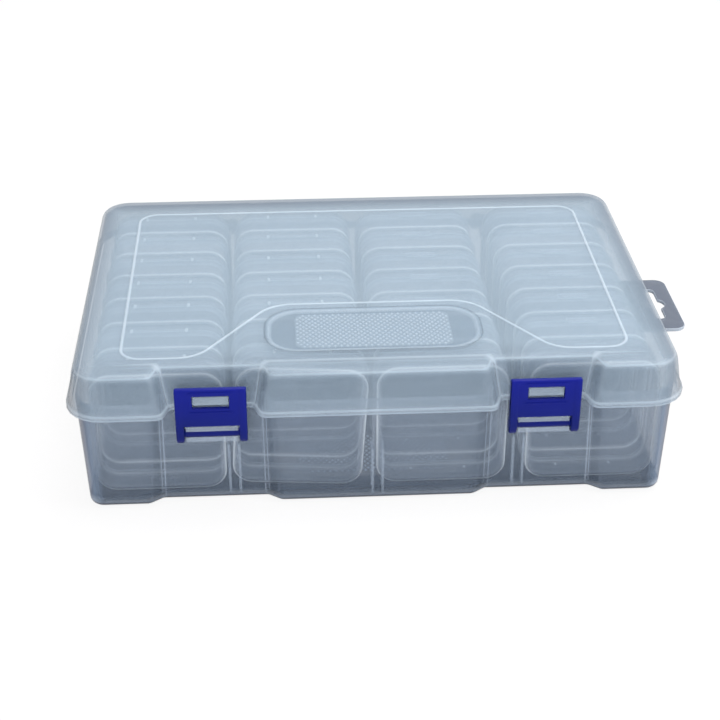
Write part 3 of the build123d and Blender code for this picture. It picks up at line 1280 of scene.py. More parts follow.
@dataclass(frozen=True)
class CaseBase:
    """The tray, with its guide ribs, latch clips, hinge knuckles and hang tab.

    Grip steps are the margin, share of the depth and milkiness of each ring.
    """

    plan: CasePlan
    grip: GripPad
    finish: Plastic = BASE_PLASTIC
    tab_finish: Plastic = TAB_PLASTIC
    wall: float = 1.5
    foot_edge: float = 3.4
    foot_top: float = 6.0
    floor_edge: float = 2.4
    brim_edge: float = 0.4
    brim_band: float = 1.3
    grip_depth: float = 0.4
    grip_steps: tuple[Corner, ...] = ((0, 0, 0.5), (-0.3, 0.8, 0.5), (-0.7, 1, 0.2), (-1.1, 1, 0))
    sole_milk: float = 0.25
    foot_milk: float = 0.3
    brim_milk: float = 0.3
    inner_milk: float = 0.36
    floor_milk: float = 0.2
    rib_height: float = 24.0
    rib_thickness: float = 1.2
    rib_spacing: float = 4.2
    rib_back: float = -75.25
    rib_corner: float = 1.2
    rib_joint: float = 0.05
    rib: Moulding = Moulding(0.25, milk_and_highlight=0.12, edge_milk_and_highlight=0.4)
    clip_root: float = -77.0
    clip_radius: float = 1.85
    clip_wall: float = 1.6
    clip_lip: float = 1.3
    clip_half: float = 10.45
    clip: Moulding = Moulding(0.15, milk_and_highlight=0.17, edge_milk_and_highlight=0.4)
    arm_root: float = 84.2
    arm_thickness: float = 3.2
    knuckle_radius: float = 4.0
    knuckle_half: float = 8.0
    knuckle: Moulding = Moulding(0.4, milk_and_highlight=0.06, edge_milk_and_highlight=0.25)
    pin_hole: float = 2.1
    tab_root: float = 119.0
    tab_end: float = 139.433
    tab_half: float = 23.7
    tab_corner: float = 5.0
    tab_joint: float = 0.6
    tab: Moulding = Moulding(0.35, edge_milk_and_highlight=0.5)
    tab_top: float = 44.6
    tab_thickness: float = 1.6
    slot_x: float = 130.033
    slot_half: float = 14.0
    slot_width: float = 4.8
    notch: float = 4.8
    floor_stud: float = 0.08
    stud_milk: Spot = (0.4, 1.0)

    def share(self, height: float) -> float:
        """How far a height lies from the top of the foot's rounding, 0, to the brim, 1."""
        return (height - self.foot_edge) / (self.plan.brim - self.foot_edge)

    def wall_at(self, height: float, inward: float = 0.0) -> Outline:
        """Outline of the wall at a height above the foot's rounding."""
        brim = self.plan.at_brim(0.0, inward)
        return self.plan.at_foot(inward).towards(brim, self.share(height))

    def shell(self) -> Skin:
        """Builds the tray itself.

        Returns:
            The closed surface.
        """
        plan, skin, wall = self.plan, Skin(), self.wall
        lip = plan.brim - self.brim_edge
        rows = [(plan.at_foot(self.foot_edge + TUCK), 0.0, self.sole_milk)]
        for rise, inset in edge_steps(self.foot_edge):
            rows.append((plan.at_foot(inset), rise, self.foot_milk))
        for height in (self.foot_top, plan.rim - 1.0, plan.brim - self.brim_band):
            rows.append((self.wall_at(height), height, 0.0))
        rows += [
            (self.wall_at(lip), lip, self.brim_milk),
            (plan.at_brim(0.0, self.brim_edge), plan.brim, self.brim_milk),
            (plan.at_brim(0.0, wall - self.brim_edge), plan.brim, self.brim_milk),
            (self.wall_at(lip, wall), lip, self.inner_milk),
        ]
        for rise, inset in reversed(edge_steps(self.floor_edge)):
            rows.append((plan.at_foot(wall + inset), wall + rise, self.floor_milk))
        rows.append((plan.at_foot(wall + self.floor_edge + TUCK), wall, 0.0))
        tray = skin.band(rows)
        skin.fill(tray[-1])
        sunk = skin.band(self.grip.rings(self.grip_steps, 0.0, self.grip_depth))
        skin.fill(tray[0], sunk[0])
        skin.fill(sunk[-1])
        return skin

    def clips(self, skin: Skin) -> None:
        """Adds the split clips that hold the latches' bars.

        Args:
            skin: the tray's surface.
        """
        y, z = self.plan.pivot
        front, root, half = y - self.clip_lip, self.clip_root, self.clip_radius + self.clip_wall
        lean = math.acos(self.clip_lip / self.clip_radius)
        points = [Vector(p) for p in ((front, half), (root, half), (root, -half), (front, -half))]
        points += arc((y, 0.0), self.clip_radius, math.pi + lean, 2 * (math.pi - lean), 16)
        loop = Outline(points[::-1]).moved(0.0, z)
        for middle in self.plan.latches:
            ends = (middle - self.clip_half, middle + self.clip_half)
            skin.slab(loop, ends, self.clip, Facing.SIDE)

    def hinges(self, skin: Skin) -> None:
        """Adds the knuckles and the arms that carry them.

        Args:
            skin: the tray's surface.
        """
        hinge, radius = self.plan.hinge, self.knuckle_radius
        bottom = hinge[1] - radius
        top = bottom + self.arm_thickness
        lean = math.asin((hinge[1] - top) / radius)
        points = [Vector((self.arm_root, bottom))]
        points += arc(hinge, radius, -math.pi / 2, 1.5 * math.pi + lean, 20)
        loop = Outline([*points, Vector((self.arm_root, top))])
        bore = disc(hinge, self.pin_hole)
        for middle in self.plan.hinges:
            ends = (middle - self.knuckle_half, middle + self.knuckle_half)
            skin.slab(loop, ends, self.knuckle, Facing.SIDE, [bore])

    def slot(self) -> Outline:
        """Outline of the hang tab's slot, with its round notch in the middle.

        Returns:
            The outline, counter-clockwise.
        """
        reach = self.slot_width / 2
        lean = math.acos(reach / self.notch)
        points: list[Vector] = []
        for side, turn in ((-1.0, math.pi), (1.0, 0.0)):
            points += arc((0.0, side * (self.slot_half - reach)), reach, turn, math.pi, 8)
            points += arc((0.0, 0.0), self.notch, math.pi - turn - lean, 2 * lean, 8)
        return Outline(points).moved(self.slot_x, 0.0)

    def hang_tab(self) -> bpy.types.Object:
        """Makes the hang tab with its slot.

        Returns:
            The piece.
        """
        skin, half = Skin(), self.tab_half
        sheet = rounded(
            [
                (self.tab_root, -half, self.tab_joint),
                (self.tab_end, -half, self.tab_corner),
                (self.tab_end, half, self.tab_corner),
                (self.tab_root, half, self.tab_joint),
            ]
        )
        ends = (self.tab_top - self.tab_thickness, self.tab_top)
        skin.slab(sheet, ends, self.tab, holes=[self.slot()])
        return skin.piece("hang_tab", self.tab_finish)

    def rib_pair(self, name: str, depth: float) -> bpy.types.Object:
        """Makes one pair of guide ribs about the middle of the case.

        Args:
            name: of the piece.
            depth: how far the front wall is pressed in there.

        Returns:
            The piece.
        """
        skin, plan = Skin(), self.plan
        top, sink = self.wall + self.rib_height, self.wall / 2
        low = -plan.half_depth + plan.flare + min(depth, plan.foot_depth) + sink
        high = -plan.half_depth + depth + sink
        rib = rounded(
            [
                (low, self.wall, self.rib_joint),
                (self.rib_back, self.wall, self.rib_joint),
                (self.rib_back, top, self.rib_corner),
                (low + (high - low) * self.share(top), top, self.rib_joint),
            ],
            4,
        )
        for turn in (-1, 1):
            middle, half = turn * self.rib_spacing / 2, self.rib_thickness / 2
            ends = (middle - half, middle + half)
            skin.slab(rib, ends, self.rib, Facing.SIDE)
        return skin.piece(name, self.finish)

    def ribs(self) -> list[bpy.types.Object]:
        """Makes the pairs of guide ribs: one in the middle, one behind each latch.

        Returns:
            The pieces.
        """
        pitch = 2 * (self.plan.half_width - self.plan.flare - self.wall) / 4
        outer = self.rib_pair("guide_ribs_behind_latches", self.plan.depth)
        sizes = {"Count": 2, "Start": (-pitch * MM, 0.0, 0.0), "Step": (2 * pitch * MM, 0.0, 0.0)}
        outer = row_recipe(self.finish.material()).apply(outer, sizes)
        return [outer, self.rib_pair("guide_ribs_in_middle", 0.0)]

    def build(self) -> list[bpy.types.Object]:
        """Builds every piece of the base.

        Returns:
            The pieces, the tray first.
        """
        skin = self.shell()
        self.clips(skin)
        self.hinges(skin)
        tray = skin.piece("case_base_tray", self.finish)
        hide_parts("case_base")
        raised = replace(self.grip, stud_height=self.floor_stud)
        knurl = raised.knurl("floor_grip_knurl", self.tab_finish, self.wall, self.stud_milk)
        made = [tray, self.hang_tab(), *self.ribs(), knurl]
        for piece in made:
            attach(piece, "case")
        return made


@dataclass(frozen=True)
class CaseLid:
    """The lid, with its rolled rim, ridge, finger grip, latch lugs and hinge ears.

    Grip steps are the margin, share of the depth and milkiness of each ring, and knurl steps
    the margin and milkiness. Skirt steps are the rise above the bead and the milkiness. The
    bead's milkiness runs from its inner corner over its underside and side to its upper side.
    """

    plan: CasePlan
    grip: GripPad
    finish: Plastic = LID_PLASTIC
    top_edge: float = 3.0
    top_tuck: float = 0.5
    inner_edge: float = 1.6
    skirt_top: float = 4.5
    bead_proud: float = 0.6
    bead_height: float = 2.4
    bead_edge: float = 0.5
    bead_milk: tuple[float, ...] = (0.2, 0.3, 0.05, 0.26)
    skirt_steps: tuple[Spot, ...] = ((0.1, 0.1), (0.9, 0.0))
    # Painted highlight: a whiter band on the top edge's rounding, between two drops below the top.
    top_edge_highlight_drop: Spot = (0.6, 1.0)
    top_edge_highlight: float = 0.2
    grip_depth: float = 0.9
    grip_flat: float = 1.9
    grip_lit: float = 1.3
    grip_lip: float = 0.08
    grip_lip_milk: float = 0.8
    grip_steps: tuple[Corner, ...] = (
        (-0.5, 0.4, 0.7),
        (-1.0, 0.85, 0.5),
        (-1.5, 1.0, 0.1),
        (-2.0, 1.0, 0.12),
    )
    knurl_steps: tuple[Spot, ...] = ((1.2, 0.12), (0.6, 0.42))
    bulge_flat: float = 0.3
    bulge_lip: float = 0.15
    bulge_slope: float = 0.35
    bulge_end: float = 0.8
    bulge_milk: float = 0.3
    inner_milk: float = 0.1
    ridge_width: float = 1.5
    ridge_height: float = 0.4
    ridge_milk: float = 0.42
    ridge_shares: tuple[float, ...] = (0.0, 0.18, 0.5, 1.0, 1.5, 1.82, 2.0)
    ridge_side: float = 103.43
    ridge_front: float = -71.68
    ridge_back: float = 68.48
    ridge_turn: float = -27.88
    ridge_inner: float = 41.5
    ridge_outer: float = 72.0
    ridge_corner: float = 9.0
    ridge_bend: float = 16.0
    lug_half: float = 7.0
    lug_top: float = 54.8
    lug_bottom: float = 49.9
    lug_nose: float = 3.9
    lug_fall: float = 2.6
    lug_front: float = -87.783
    lug_sink: float = 0.7
    lug_edge: float = 0.4
    lug_joint: float = 0.05
    lug: Moulding = Moulding(0.15, milk_and_highlight=0.08, edge_milk_and_highlight=0.15)
    ear_radius: float = 3.4
    ear_thickness: float = 3.2
    ear_half: float = 8.5
    ear_foot: Spot = (-2.6, -2.1)
    ear_start: float = -115.0
    ear_sweep: float = 160.0
    ear_top: float = 52.0
    ear: Moulding = Moulding(0.35, milk_and_highlight=0.05, edge_milk_and_highlight=0.25)
    pin_radius: float = 2.0
    pin_length: float = 5.0
    pin: Moulding = Moulding(0.3, milk_and_highlight=0.05, edge_milk_and_highlight=0.2)
    stud_milk: Spot = (0.35, 1.0)

    def ridge(self) -> Outline:
        """Outline of the ridge on the lid's top, which bends round the grip.

        Returns:
            Its outer edge.
        """
        side, front, back = self.ridge_side, self.ridge_front, self.ridge_back
        corner, bend, turn = self.ridge_corner, self.ridge_bend, self.ridge_turn
        corners = [
            (side, front, corner),
            (side, back, corner),
            (-side, back, corner),
            (-side, front, corner),
            (-self.ridge_outer, front, bend),
            (-self.ridge_inner, turn, bend),
            (self.ridge_inner, turn, bend),
            (self.ridge_outer, front, bend),
        ]
        return rounded(corners, 8)

    def skirt_rows(self) -> list[Row]:
        """Rings of the lid's outside, from the rim's inner corner to the flat top.

        Returns:
            Outline, height and milkiness of each ring.
        """
        plan, top = self.plan, self.plan.height
        bead, foot = plan.rim_spread + self.bead_proud, plan.rim + self.bead_height
        turn = edge_steps(self.bead_edge, 3)
        inner, low, side, high = self.bead_milk
        rows = [(plan.at_brim(plan.rim_spread, plan.lid_wall), plan.rim, inner)]
        rows += [(plan.at_brim(bead, inset), plan.rim + rise, low) for rise, inset in turn]
        rows.append((plan.at_brim(bead), plan.rim + self.bead_height / 2, side))
        rows += [(plan.at_brim(bead, inset), foot - rise, high) for rise, inset in reversed(turn)]
        levels = [(foot + rise, milk_and_highlight) for rise, milk_and_highlight in self.skirt_steps]
        for height, milk_and_highlight in (*levels, (top - self.skirt_top, 0.0)):
            rows.append((plan.at_skirt(height), height, milk_and_highlight))
        # Painted highlight along the top edge's rounding.
        start, end = self.top_edge_highlight_drop
        for drop, inset in reversed(edge_steps(self.top_edge, 6)):
            glow = self.top_edge_highlight if start < drop < end else 0.0
            rows.append((plan.at_skirt(top - drop, inset), top - drop, glow))
        rows.append((plan.at_skirt(top, self.top_edge + self.top_tuck), top, 0.0))
        return rows

    def ridge_rows(self) -> list[Row]:
        """Rings of the ridge's half-round section, with the flat beside it.

        Returns:
            Outline, height and milkiness of each ring, from the outside in.
        """
        ridge, half, top = self.ridge(), self.ridge_width / 2, self.plan.height
        rows = [(ridge.offset(-TUCK), top, 0.0)]
        for share in self.ridge_shares:
            lift = math.sqrt(max(0.0, 1.0 - (share - 1.0) ** 2))
            height = top + self.ridge_height * lift
            rows.append((ridge.offset(half * share), height, self.ridge_milk * lift))
        return [*rows, (ridge.offset(self.ridge_width + TUCK), top, 0.0)]

    def grip_rows(self) -> list[Row]:
        """Rings of the sunk grip, from the lid's flat top to the field of diamonds.

        Returns:
            Outline, height and milkiness of each ring.
        """
        grip, top, depth = self.grip, self.plan.height, self.grip_depth
        rows = [
            (grip.outline(self.grip_flat), top, 0.0),
            # Ring with the painted highlight along the grip's front.
            (grip.front_lit(self.grip_lit), top, 0.0),
            (grip.outline(), top - self.grip_lip, self.grip_lip_milk),
        ]
        rows += grip.rings(self.grip_steps, top, -depth)
        rows += [(grip.knurled(out), top - depth, milk_and_highlight) for out, milk_and_highlight in self.knurl_steps]
        return rows

    def shell(self) -> Skin:
        """Builds the lid itself.

        Returns:
            The closed surface.
        """
        plan, skin, grip, wall = self.plan, Skin(), self.grip, self.plan.lid_wall
        outside = skin.band(self.skirt_rows())
        ridge = skin.band(self.ridge_rows())
        skin.fill(outside[-1], ridge[0])
        sunk = skin.band(self.grip_rows())
        skin.fill(ridge[-1], sunk[0])
        skin.fill(sunk[-1])
        ceiling = plan.height - wall
        rows = []
        for drop, inset in reversed(edge_steps(self.inner_edge, 4)):
            height = ceiling - drop
            rows.append((plan.at_skirt(height, wall + inset), height, self.inner_milk))
        rows.append((plan.at_skirt(ceiling, wall + self.inner_edge + TUCK), ceiling, 0.0))
        inside = skin.band(rows, start=[outside[0]])
        low, milk_and_highlight = ceiling - self.grip_depth, self.bulge_milk
        bulge = skin.band(
            [
                (grip.outline(wall + self.bulge_flat), ceiling, 0.0),
                (grip.outline(wall), ceiling - self.bulge_lip, milk_and_highlight),
                (grip.outline(wall - self.bulge_slope), low, milk_and_highlight),
                (grip.outline(wall - self.bulge_end), low, 0.0),
            ]
        )
        skin.fill(inside[-1], bulge[0])
        skin.fill(bulge[-1])
        return skin

    def lugs(self, skin: Skin) -> None:
        """Adds the wedges that the latches' windows snap over.

        Args:
            skin: the lid's surface.
        """
        plan, front = self.plan, self.lug_front
        root = plan.depth - plan.half_depth + self.lug_sink
        loop = rounded(
            [
                (front, self.lug_top - self.lug_nose, self.lug_edge),
                (root - plan.skirt(self.lug_bottom), self.lug_bottom, self.lug_joint),
                (root - plan.skirt(self.lug_top), self.lug_top - self.lug_fall, self.lug_joint),
                (front, self.lug_top, self.lug_edge),
            ],
            3,
        )
        for middle in plan.latches:
            ends = (middle - self.lug_half, middle + self.lug_half)
            skin.slab(loop, ends, self.lug, Facing.SIDE)

    def ears(self, skin: Skin) -> None:
        """Adds the ears and stub pins of the two rear hinges.

        Args:
            skin: the lid's surface.
        """
        plan, hinge = self.plan, self.plan.hinge
        root = plan.half_depth - plan.lid_wall / 2
        points = [Vector((root + plan.skirt(plan.rim), plan.rim))]
        points.append(Vector(hinge) + Vector(self.ear_foot))
        start, sweep = math.radians(self.ear_start), math.radians(self.ear_sweep)
        points += arc(hinge, self.ear_radius, start, sweep, 14)
        loop = Outline([*points, Vector((root + plan.skirt(self.ear_top), self.ear_top))])
        pin = disc(hinge, self.pin_radius)
        for middle in plan.hinges:
            for turn in (-1, 1):
                face = middle + turn * self.ear_half
                far, tip = face + turn * self.ear_thickness, face - turn * self.pin_length
                skin.slab(loop, (face, far), self.ear, Facing.SIDE)
                skin.slab(pin, (face, tip), self.pin, Facing.SIDE)

    def build(self) -> list[bpy.types.Object]:
        """Builds every piece of the lid.

        Returns:
            The pieces, the shell first.
        """
        skin = self.shell()
        self.lugs(skin)
        self.ears(skin)
        shell = skin.piece("case_lid_shell", self.finish)
        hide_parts("case_lid")
        level = self.plan.height - self.grip_depth
        knurl = self.grip.knurl("lid_grip_knurl", self.finish, level, self.stud_milk)
        for piece in (shell, knurl):
            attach(piece, "lid")
        return [shell, knurl]


# ---- Latches -------------------------------------------------------------------------------


@dataclass(frozen=True)
class Latch:
    """One snap latch: plate with a window, two legs, two rails and its pivot bar."""

    plan: CasePlan
    node: str
    body: str
    middle: float
    finish: Plastic = BLUE_PLASTIC
    width: float = 28.3
    top: float = 58.3
    bottom: float = 41.3
    face: float = -88.183
    thickness: float = 2.2
    corner: float = 0.7
    rail_width: float = 1.8
    rail_depth: float = 1.8
    rail_drop: float = 1.1
    rail_sink: float = 0.6
    rail_corner: float = 0.5
    window_width: float = 14.6
    window_low: float = 49.4
    window_high: float = 55.1
    window_corner: float = 0.4
    leg_width: float = 3.2
    border_rise: float = 0.2
    border_drop: float = 0.4
    border_sink: float = 0.2
    leg_joint: float = 1.0
    foot_radius: float = 3.3
    foot_reach: float = 4.1
    bar_radius: float = 1.6
    bar_sink: float = 0.5
    rib_length: float = 17.0
    rib_width: float = 0.7
    rib_height: float = 0.3
    rib_sink: float = 0.3
    rib_gap: float = 1.2
    rib_corner: float = 0.3
    flat: Moulding = Moulding(0.4)
    leg: Moulding = Moulding(0.7)
    bar: Moulding = Moulding(0.2)
    rib: Moulding = Moulding(0.15)

    @property
    def rail_back(self) -> float:
        """Where the rails and the legs end at the back."""
        return self.face + self.thickness + self.rail_depth

    def build(self) -> bpy.types.Object:
        """Builds the latch.

        Returns:
            The piece.
        """
        skin = Skin()
        self.plate(skin)
        self.rails(skin)
        self.legs(skin)
        self.ribs(skin)
        piece = skin.piece(f"{self.node}_moulding", self.finish)
        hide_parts(self.node)
        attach(piece, self.body)
        return piece

    def panel(self, sides: Spot, levels: Spot, radius: float) -> Outline:
        """Upright rounded rectangle.

        Args:
            sides: where its two sides are, from the latch's middle.
            levels: its bottom and its top.
            radius: of its corners.

        Returns:
            The outline.
        """
        left, right = self.middle + min(sides), self.middle + max(sides)
        return rectangle(left, right, *levels, radius, 4)

    def plate(self, skin: Skin) -> None:
        """Adds the plate with its window.

        Args:
            skin: the latch's surface.
        """
        half, gap = self.width / 2, self.window_width / 2
        sheet = self.panel((-half, half), (self.bottom, self.top), self.corner)
        levels = (self.window_low, self.window_high)
        window = self.panel((-gap, gap), levels, self.window_corner)
        ends = (self.face, self.face + self.thickness)
        skin.slab(sheet, ends, self.flat, Facing.FRONT, [window])

    def rails(self, skin: Skin) -> None:
        """Adds the rails along the two sides of the plate.

        Args:
            skin: the latch's surface.
        """
        ends = (self.face + self.rail_sink, self.rail_back)
        for turn in (-1, 1):
            outer = turn * self.width / 2
            sides = (outer, outer - turn * self.rail_width)
            levels = (self.bottom, self.top - self.rail_drop)
            rail = self.panel(sides, levels, self.rail_corner)
            skin.slab(rail, ends, self.flat, Facing.FRONT)

    def legs(self, skin: Skin) -> None:
        """Adds the legs, which run up the plate as its borders, and the bar between them.

        Args:
            skin: the latch's surface.
        """
        pivot, radius, back = self.plan.pivot, self.foot_radius, self.rail_back
        front, behind = self.face - self.border_rise, self.face + self.thickness - self.border_sink
        joint, tip = self.bottom + self.leg_joint, self.top - self.border_drop
        corners = [(back, joint), (behind, joint), (behind, tip), (front, tip)]
        points = [Vector(corner) for corner in (*corners, (front, pivot[1] + radius))]
        points += arc(pivot, radius, math.pi, math.pi, 18, self.foot_reach)
        shoulder = math.sqrt(radius**2 - (back - pivot[0]) ** 2)
        loop = Outline([*points, Vector((back, pivot[1] + shoulder))])
        for turn in (-1, 1):
            outer = self.middle + turn * self.width / 2
            ends = (outer, outer - turn * self.leg_width)
            skin.slab(loop, ends, self.leg, Facing.SIDE)
        reach = self.width / 2 - self.leg_width + self.bar_sink
        ends = (self.middle - reach, self.middle + reach)
        skin.slab(disc(pivot, self.bar_radius), ends, self.bar, Facing.SIDE)

    def ribs(self, skin: Skin) -> None:
        """Adds the thin ribs above and below the window.

        Args:
            skin: the latch's surface.
        """
        half, ends = self.rib_length / 2, (self.face - self.rib_height, self.face + self.rib_sink)
        low = self.window_low - self.rib_gap - self.rib_width
        for level in (low, self.window_high + self.rib_gap):
            levels = (level, level + self.rib_width)
            rib = self.panel((-half, half), levels, self.rib_corner)
            skin.slab(rib, ends, self.rib, Facing.FRONT)


# ---- Small boxes ---------------------------------------------------------------------------


class Stand(Enum):
    """How a small box stands in its column."""

    HINGE_UP = "hinge strip upwards"
    TAB_UP = "snap tab upwards"
    LEANING = "leaning, its left side raised"


@dataclass(frozen=True)
class SmallBox:
    """One small clamshell box, made standing on edge about its own middle."""

    finish: Plastic = BOX_PLASTIC
    floor: float = 1.6
    width: float = 54.8
    height: float = 56.0
    body_depth: float = 12.8
    lid_depth: float = 9.2
    wall: float = 1.0
    corner: float = 9.0
    least_corner: float = 0.5
    edge: float = 2.6
    edge_end: float = 0.8
    inner_edge: float = 1.6
    inner_milk: float = 0.3
    # Where along the rounding the painted highlight peaks, and how fast it falls off.
    crest: float = 0.29
    crest_fall: float = 3.2
    band: float = 0.4
    band_edge: float = 0.12
    body_band: float = 3.0
    lid_band: float = 1.6
    split_gap: float = 0.02
    hinge_half: float = 12.0
    hinge_reach: float = 1.4
    tick_half: float = 0.6
    tick_corner: float = 0.25
    tab_half: float = 6.5
    tab_reach: float = 2.6
    tab_corner: float = 0.8
    tab_joint: float = 0.3
    strip: float = 0.4
    strip_share: float = 0.6
    strip_inset: float = 1.0
    strip_corner: float = 0.2
    sink: float = 0.05
    tick: Moulding = Moulding(0.15, milk_and_highlight=0.9, edge_milk_and_highlight=1.0)
    flap: Moulding = Moulding(0.1, milk_and_highlight=0.3, edge_milk_and_highlight=0.5)
    tab: Moulding = Moulding(0.15, milk_and_highlight=0.3, edge_milk_and_highlight=0.55)
    tab_sink: float = 0.03
    lip_reach: float = 1.2
    lip_wall: float = 0.7
    lip_gap: float = 0.1
    lip_milk: float = 0.5
    lean: float = 3.6

    def edge_milk_and_highlight(self, rise: float) -> float:
        """Milkiness of the rounded edge, with a painted highlight most where it turns."""
        return max(0.05, 1.0 - self.crest_fall * abs(rise / self.edge - self.crest))

    def half(self, rows: Sequence[tuple[float, float, float]]) -> Skin:
        """Builds one closed half from the rings round it, outside and inside.

        Args:
            rows: inset from the box's outline, depth and milkiness of each ring.

        Returns:
            The closed surface.
        """
        skin, placed = Skin(), []
        for inset, depth, milk_and_highlight in rows:
            corner = max(self.corner - inset, self.least_corner)
            outline = rounded_box(self.width - 2 * inset, self.height - 2 * inset, corner, 6)
            placed.append((outline, depth, milk_and_highlight))
        rings = skin.band(placed, Facing.FRONT)
        skin.fill(rings[0])
        skin.fill(rings[-1])
        return skin

    def body_mesh(self) -> bpy.types.Mesh:
        """Builds the deep half.

        Returns:
            Its mesh.
        """
        depth, wall, band = self.body_depth, self.wall, self.band
        foot = depth - self.body_band
        rows = [(self.edge + TUCK, 0.0, 0.0)]
        rows += [(inset, rise, self.edge_milk_and_highlight(rise)) for rise, inset in edge_steps(self.edge, 6)]
        rows += [
            (0.0, self.edge + self.edge_end, 0.0),
            (0.0, foot - 0.3, 0.15),
            (0.1 - band, foot, 0.3),
            (-band, foot + 0.15, 0.3),
            (-band, foot + 0.6, 0.1),
            (-band, depth - 0.5, 0.1),
            (-band, depth - self.band_edge, 0.45),
            (self.band_edge - band, depth, 0.45),
            (wall, depth, 0.3),
        ]
        for rise, inset in reversed(edge_steps(self.inner_edge, 4)):
            rows.append((wall + inset, wall + rise, self.inner_milk))
        skin = self.half([*rows, (wall + self.inner_edge + TUCK, wall, 0.0)])
        low = self.height / 2 + band
        reach, inner = self.hinge_reach, self.hinge_half - self.strip_inset
        for turn in (-1, 1):
            middle, half = turn * (self.hinge_half - self.tick_half), self.tick_half
            sides = (middle - half, middle + half)
            tick = rectangle(*sides, depth - reach, depth + reach, self.tick_corner, 2)
            skin.slab(tick, (low - self.sink, low + self.strip), self.tick)
        reach *= self.strip_share
        strip = rectangle(-inner, inner, depth - reach, depth + reach, self.strip_corner, 2)
        skin.slab(strip, (low - self.sink, low + self.strip * self.strip_share), self.flap)
        return skin.mesh("small_box_body")

    def lid_mesh(self) -> bpy.types.Mesh:
        """Builds the shallow half.

        Returns:
            Its mesh.
        """
        split, wall, band = self.body_depth, self.wall, self.band
        back, top = split + self.lid_depth, split + self.lid_band
        lip, end = wall + self.lip_gap, split - self.lip_reach
        rows = [(self.edge + TUCK, back, 0.0)]
        for rise, inset in edge_steps(self.edge, 6):
            rows.append((inset, back - rise, self.edge_milk_and_highlight(rise)))
        rows += [
            (0.0, back - self.edge - self.edge_end, 0.0),
            (0.0, top + 0.3, 0.15),
            (0.1 - band, top, 0.3),
            (-band, top - 0.15, 0.3),
            (-band, split + self.band_edge, 0.3),
            (self.band_edge - band, split + self.split_gap, 0.3),
            (lip, split + self.split_gap, self.lip_milk),
            (lip, end, self.lip_milk),
            (lip + self.lip_wall, end, self.lip_milk),
            (lip + self.lip_wall, top, 0.3),
            (wall, top, 0.3),
        ]
        for rise, inset in reversed(edge_steps(self.inner_edge, 4)):
            rows.append((wall + inset, back - wall - rise, self.inner_milk))
        skin = self.half([*rows, (wall + self.inner_edge + TUCK, back - wall, 0.0)])
        high, half = -self.height / 2 - band, self.tab_half
        tab = rounded(
            [
                (-half, split - self.tab_reach, self.tab_corner),
                (half, split - self.tab_reach, self.tab_corner),
                (half, top, self.tab_joint),
                (-half, top, self.tab_joint),
            ],
            3,
        )
        skin.slab(tab, (high - self.strip, high + self.tab_sink), self.tab)
        return skin.mesh("small_box_lid")

    def place(self, stand: Stand, x: float, y: float) -> Matrix:
        """Where a small box stands.

        Args:
            stand: how it stands.
            x: middle of its column.
            y: its front face.

        Returns:
            The placement, in metres.
        """
        band_half = self.height / 2 + self.band
        turn = Matrix.Identity(4)
        height = self.floor + band_half + self.strip
        if stand is Stand.TAB_UP:
            turn = Matrix.Rotation(math.pi, 4, "Y")
        if stand is Stand.LEANING:
            angle, radius = math.radians(self.lean), self.corner + self.band
            height = self.floor + radius + (band_half - radius) * math.cos(angle)
            height += (self.width / 2 + self.band - radius) * math.sin(angle)
            turn = Matrix.Rotation(angle, 4, "Y")
        return Matrix.Translation(Vector((x, y, height)) * MM) @ turn


@dataclass(frozen=True)
class BoxRack:
    """The columns and rows of small boxes, numbered from 0 at the left and the front."""

    box: SmallBox
    columns: int = 4
    rows: int = 7
    gaps: tuple[float, ...] = (1.8, 2.6, 6.4)
    first_y: float = -74.95
    row_pitch: float = 22.3
    tab_up: tuple[int, ...] = (2, 3)
    leaning: tuple[int, int] = (1, 0)

    def column_x(self, column: int) -> float:
        """Middle of a column.

        Args:
            column: its number.

        Returns:
            Its place along X.
        """
        each = self.box.width + 2 * self.box.band
        total = self.columns * each + sum(self.gaps)
        return (each - total) / 2 + column * each + sum(self.gaps[:column])

    def stand(self, column: int, row: int) -> Stand:
        """How a box stands.

        Args:
            column: the number of its column.
            row: the number of its row.

        Returns:
            The way it stands.
        """
        if (column, row) == self.leaning:
            return Stand.LEANING
        return Stand.TAB_UP if column in self.tab_up else Stand.HINGE_UP

    def build(self) -> int:
        """Builds every small box.

        Returns:
            How many were built.
        """
        halves = {"body": self.box.body_mesh(), "lid": self.box.lid_mesh()}
        for column in range(self.columns):
            for row in range(self.rows):
                y = self.first_y + row * self.row_pitch
                place = self.box.place(self.stand(column, row), self.column_x(column), y)
                for half, mesh in halves.items():
                    node = f"box_c{column + 1}_r{row + 1}_{half}"
                    own = mesh.copy()
                    own.transform(place)
                    piece = shown(f"{node}_shell", own, self.box.finish)
                    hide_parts(node)
                    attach(piece, "case")
        for mesh in halves.values():
            bpy.data.meshes.remove(mesh)
        return self.columns * self.rows


# ---- The studio ----------------------------------------------------------------------------


@dataclass(frozen=True)
class Lamp:
    """Square soft lamp, in metres and watts, and whether gloss mirrors it."""

    name: str
    place: Corner
    size: float
    watts: float
    mirrored: bool = True


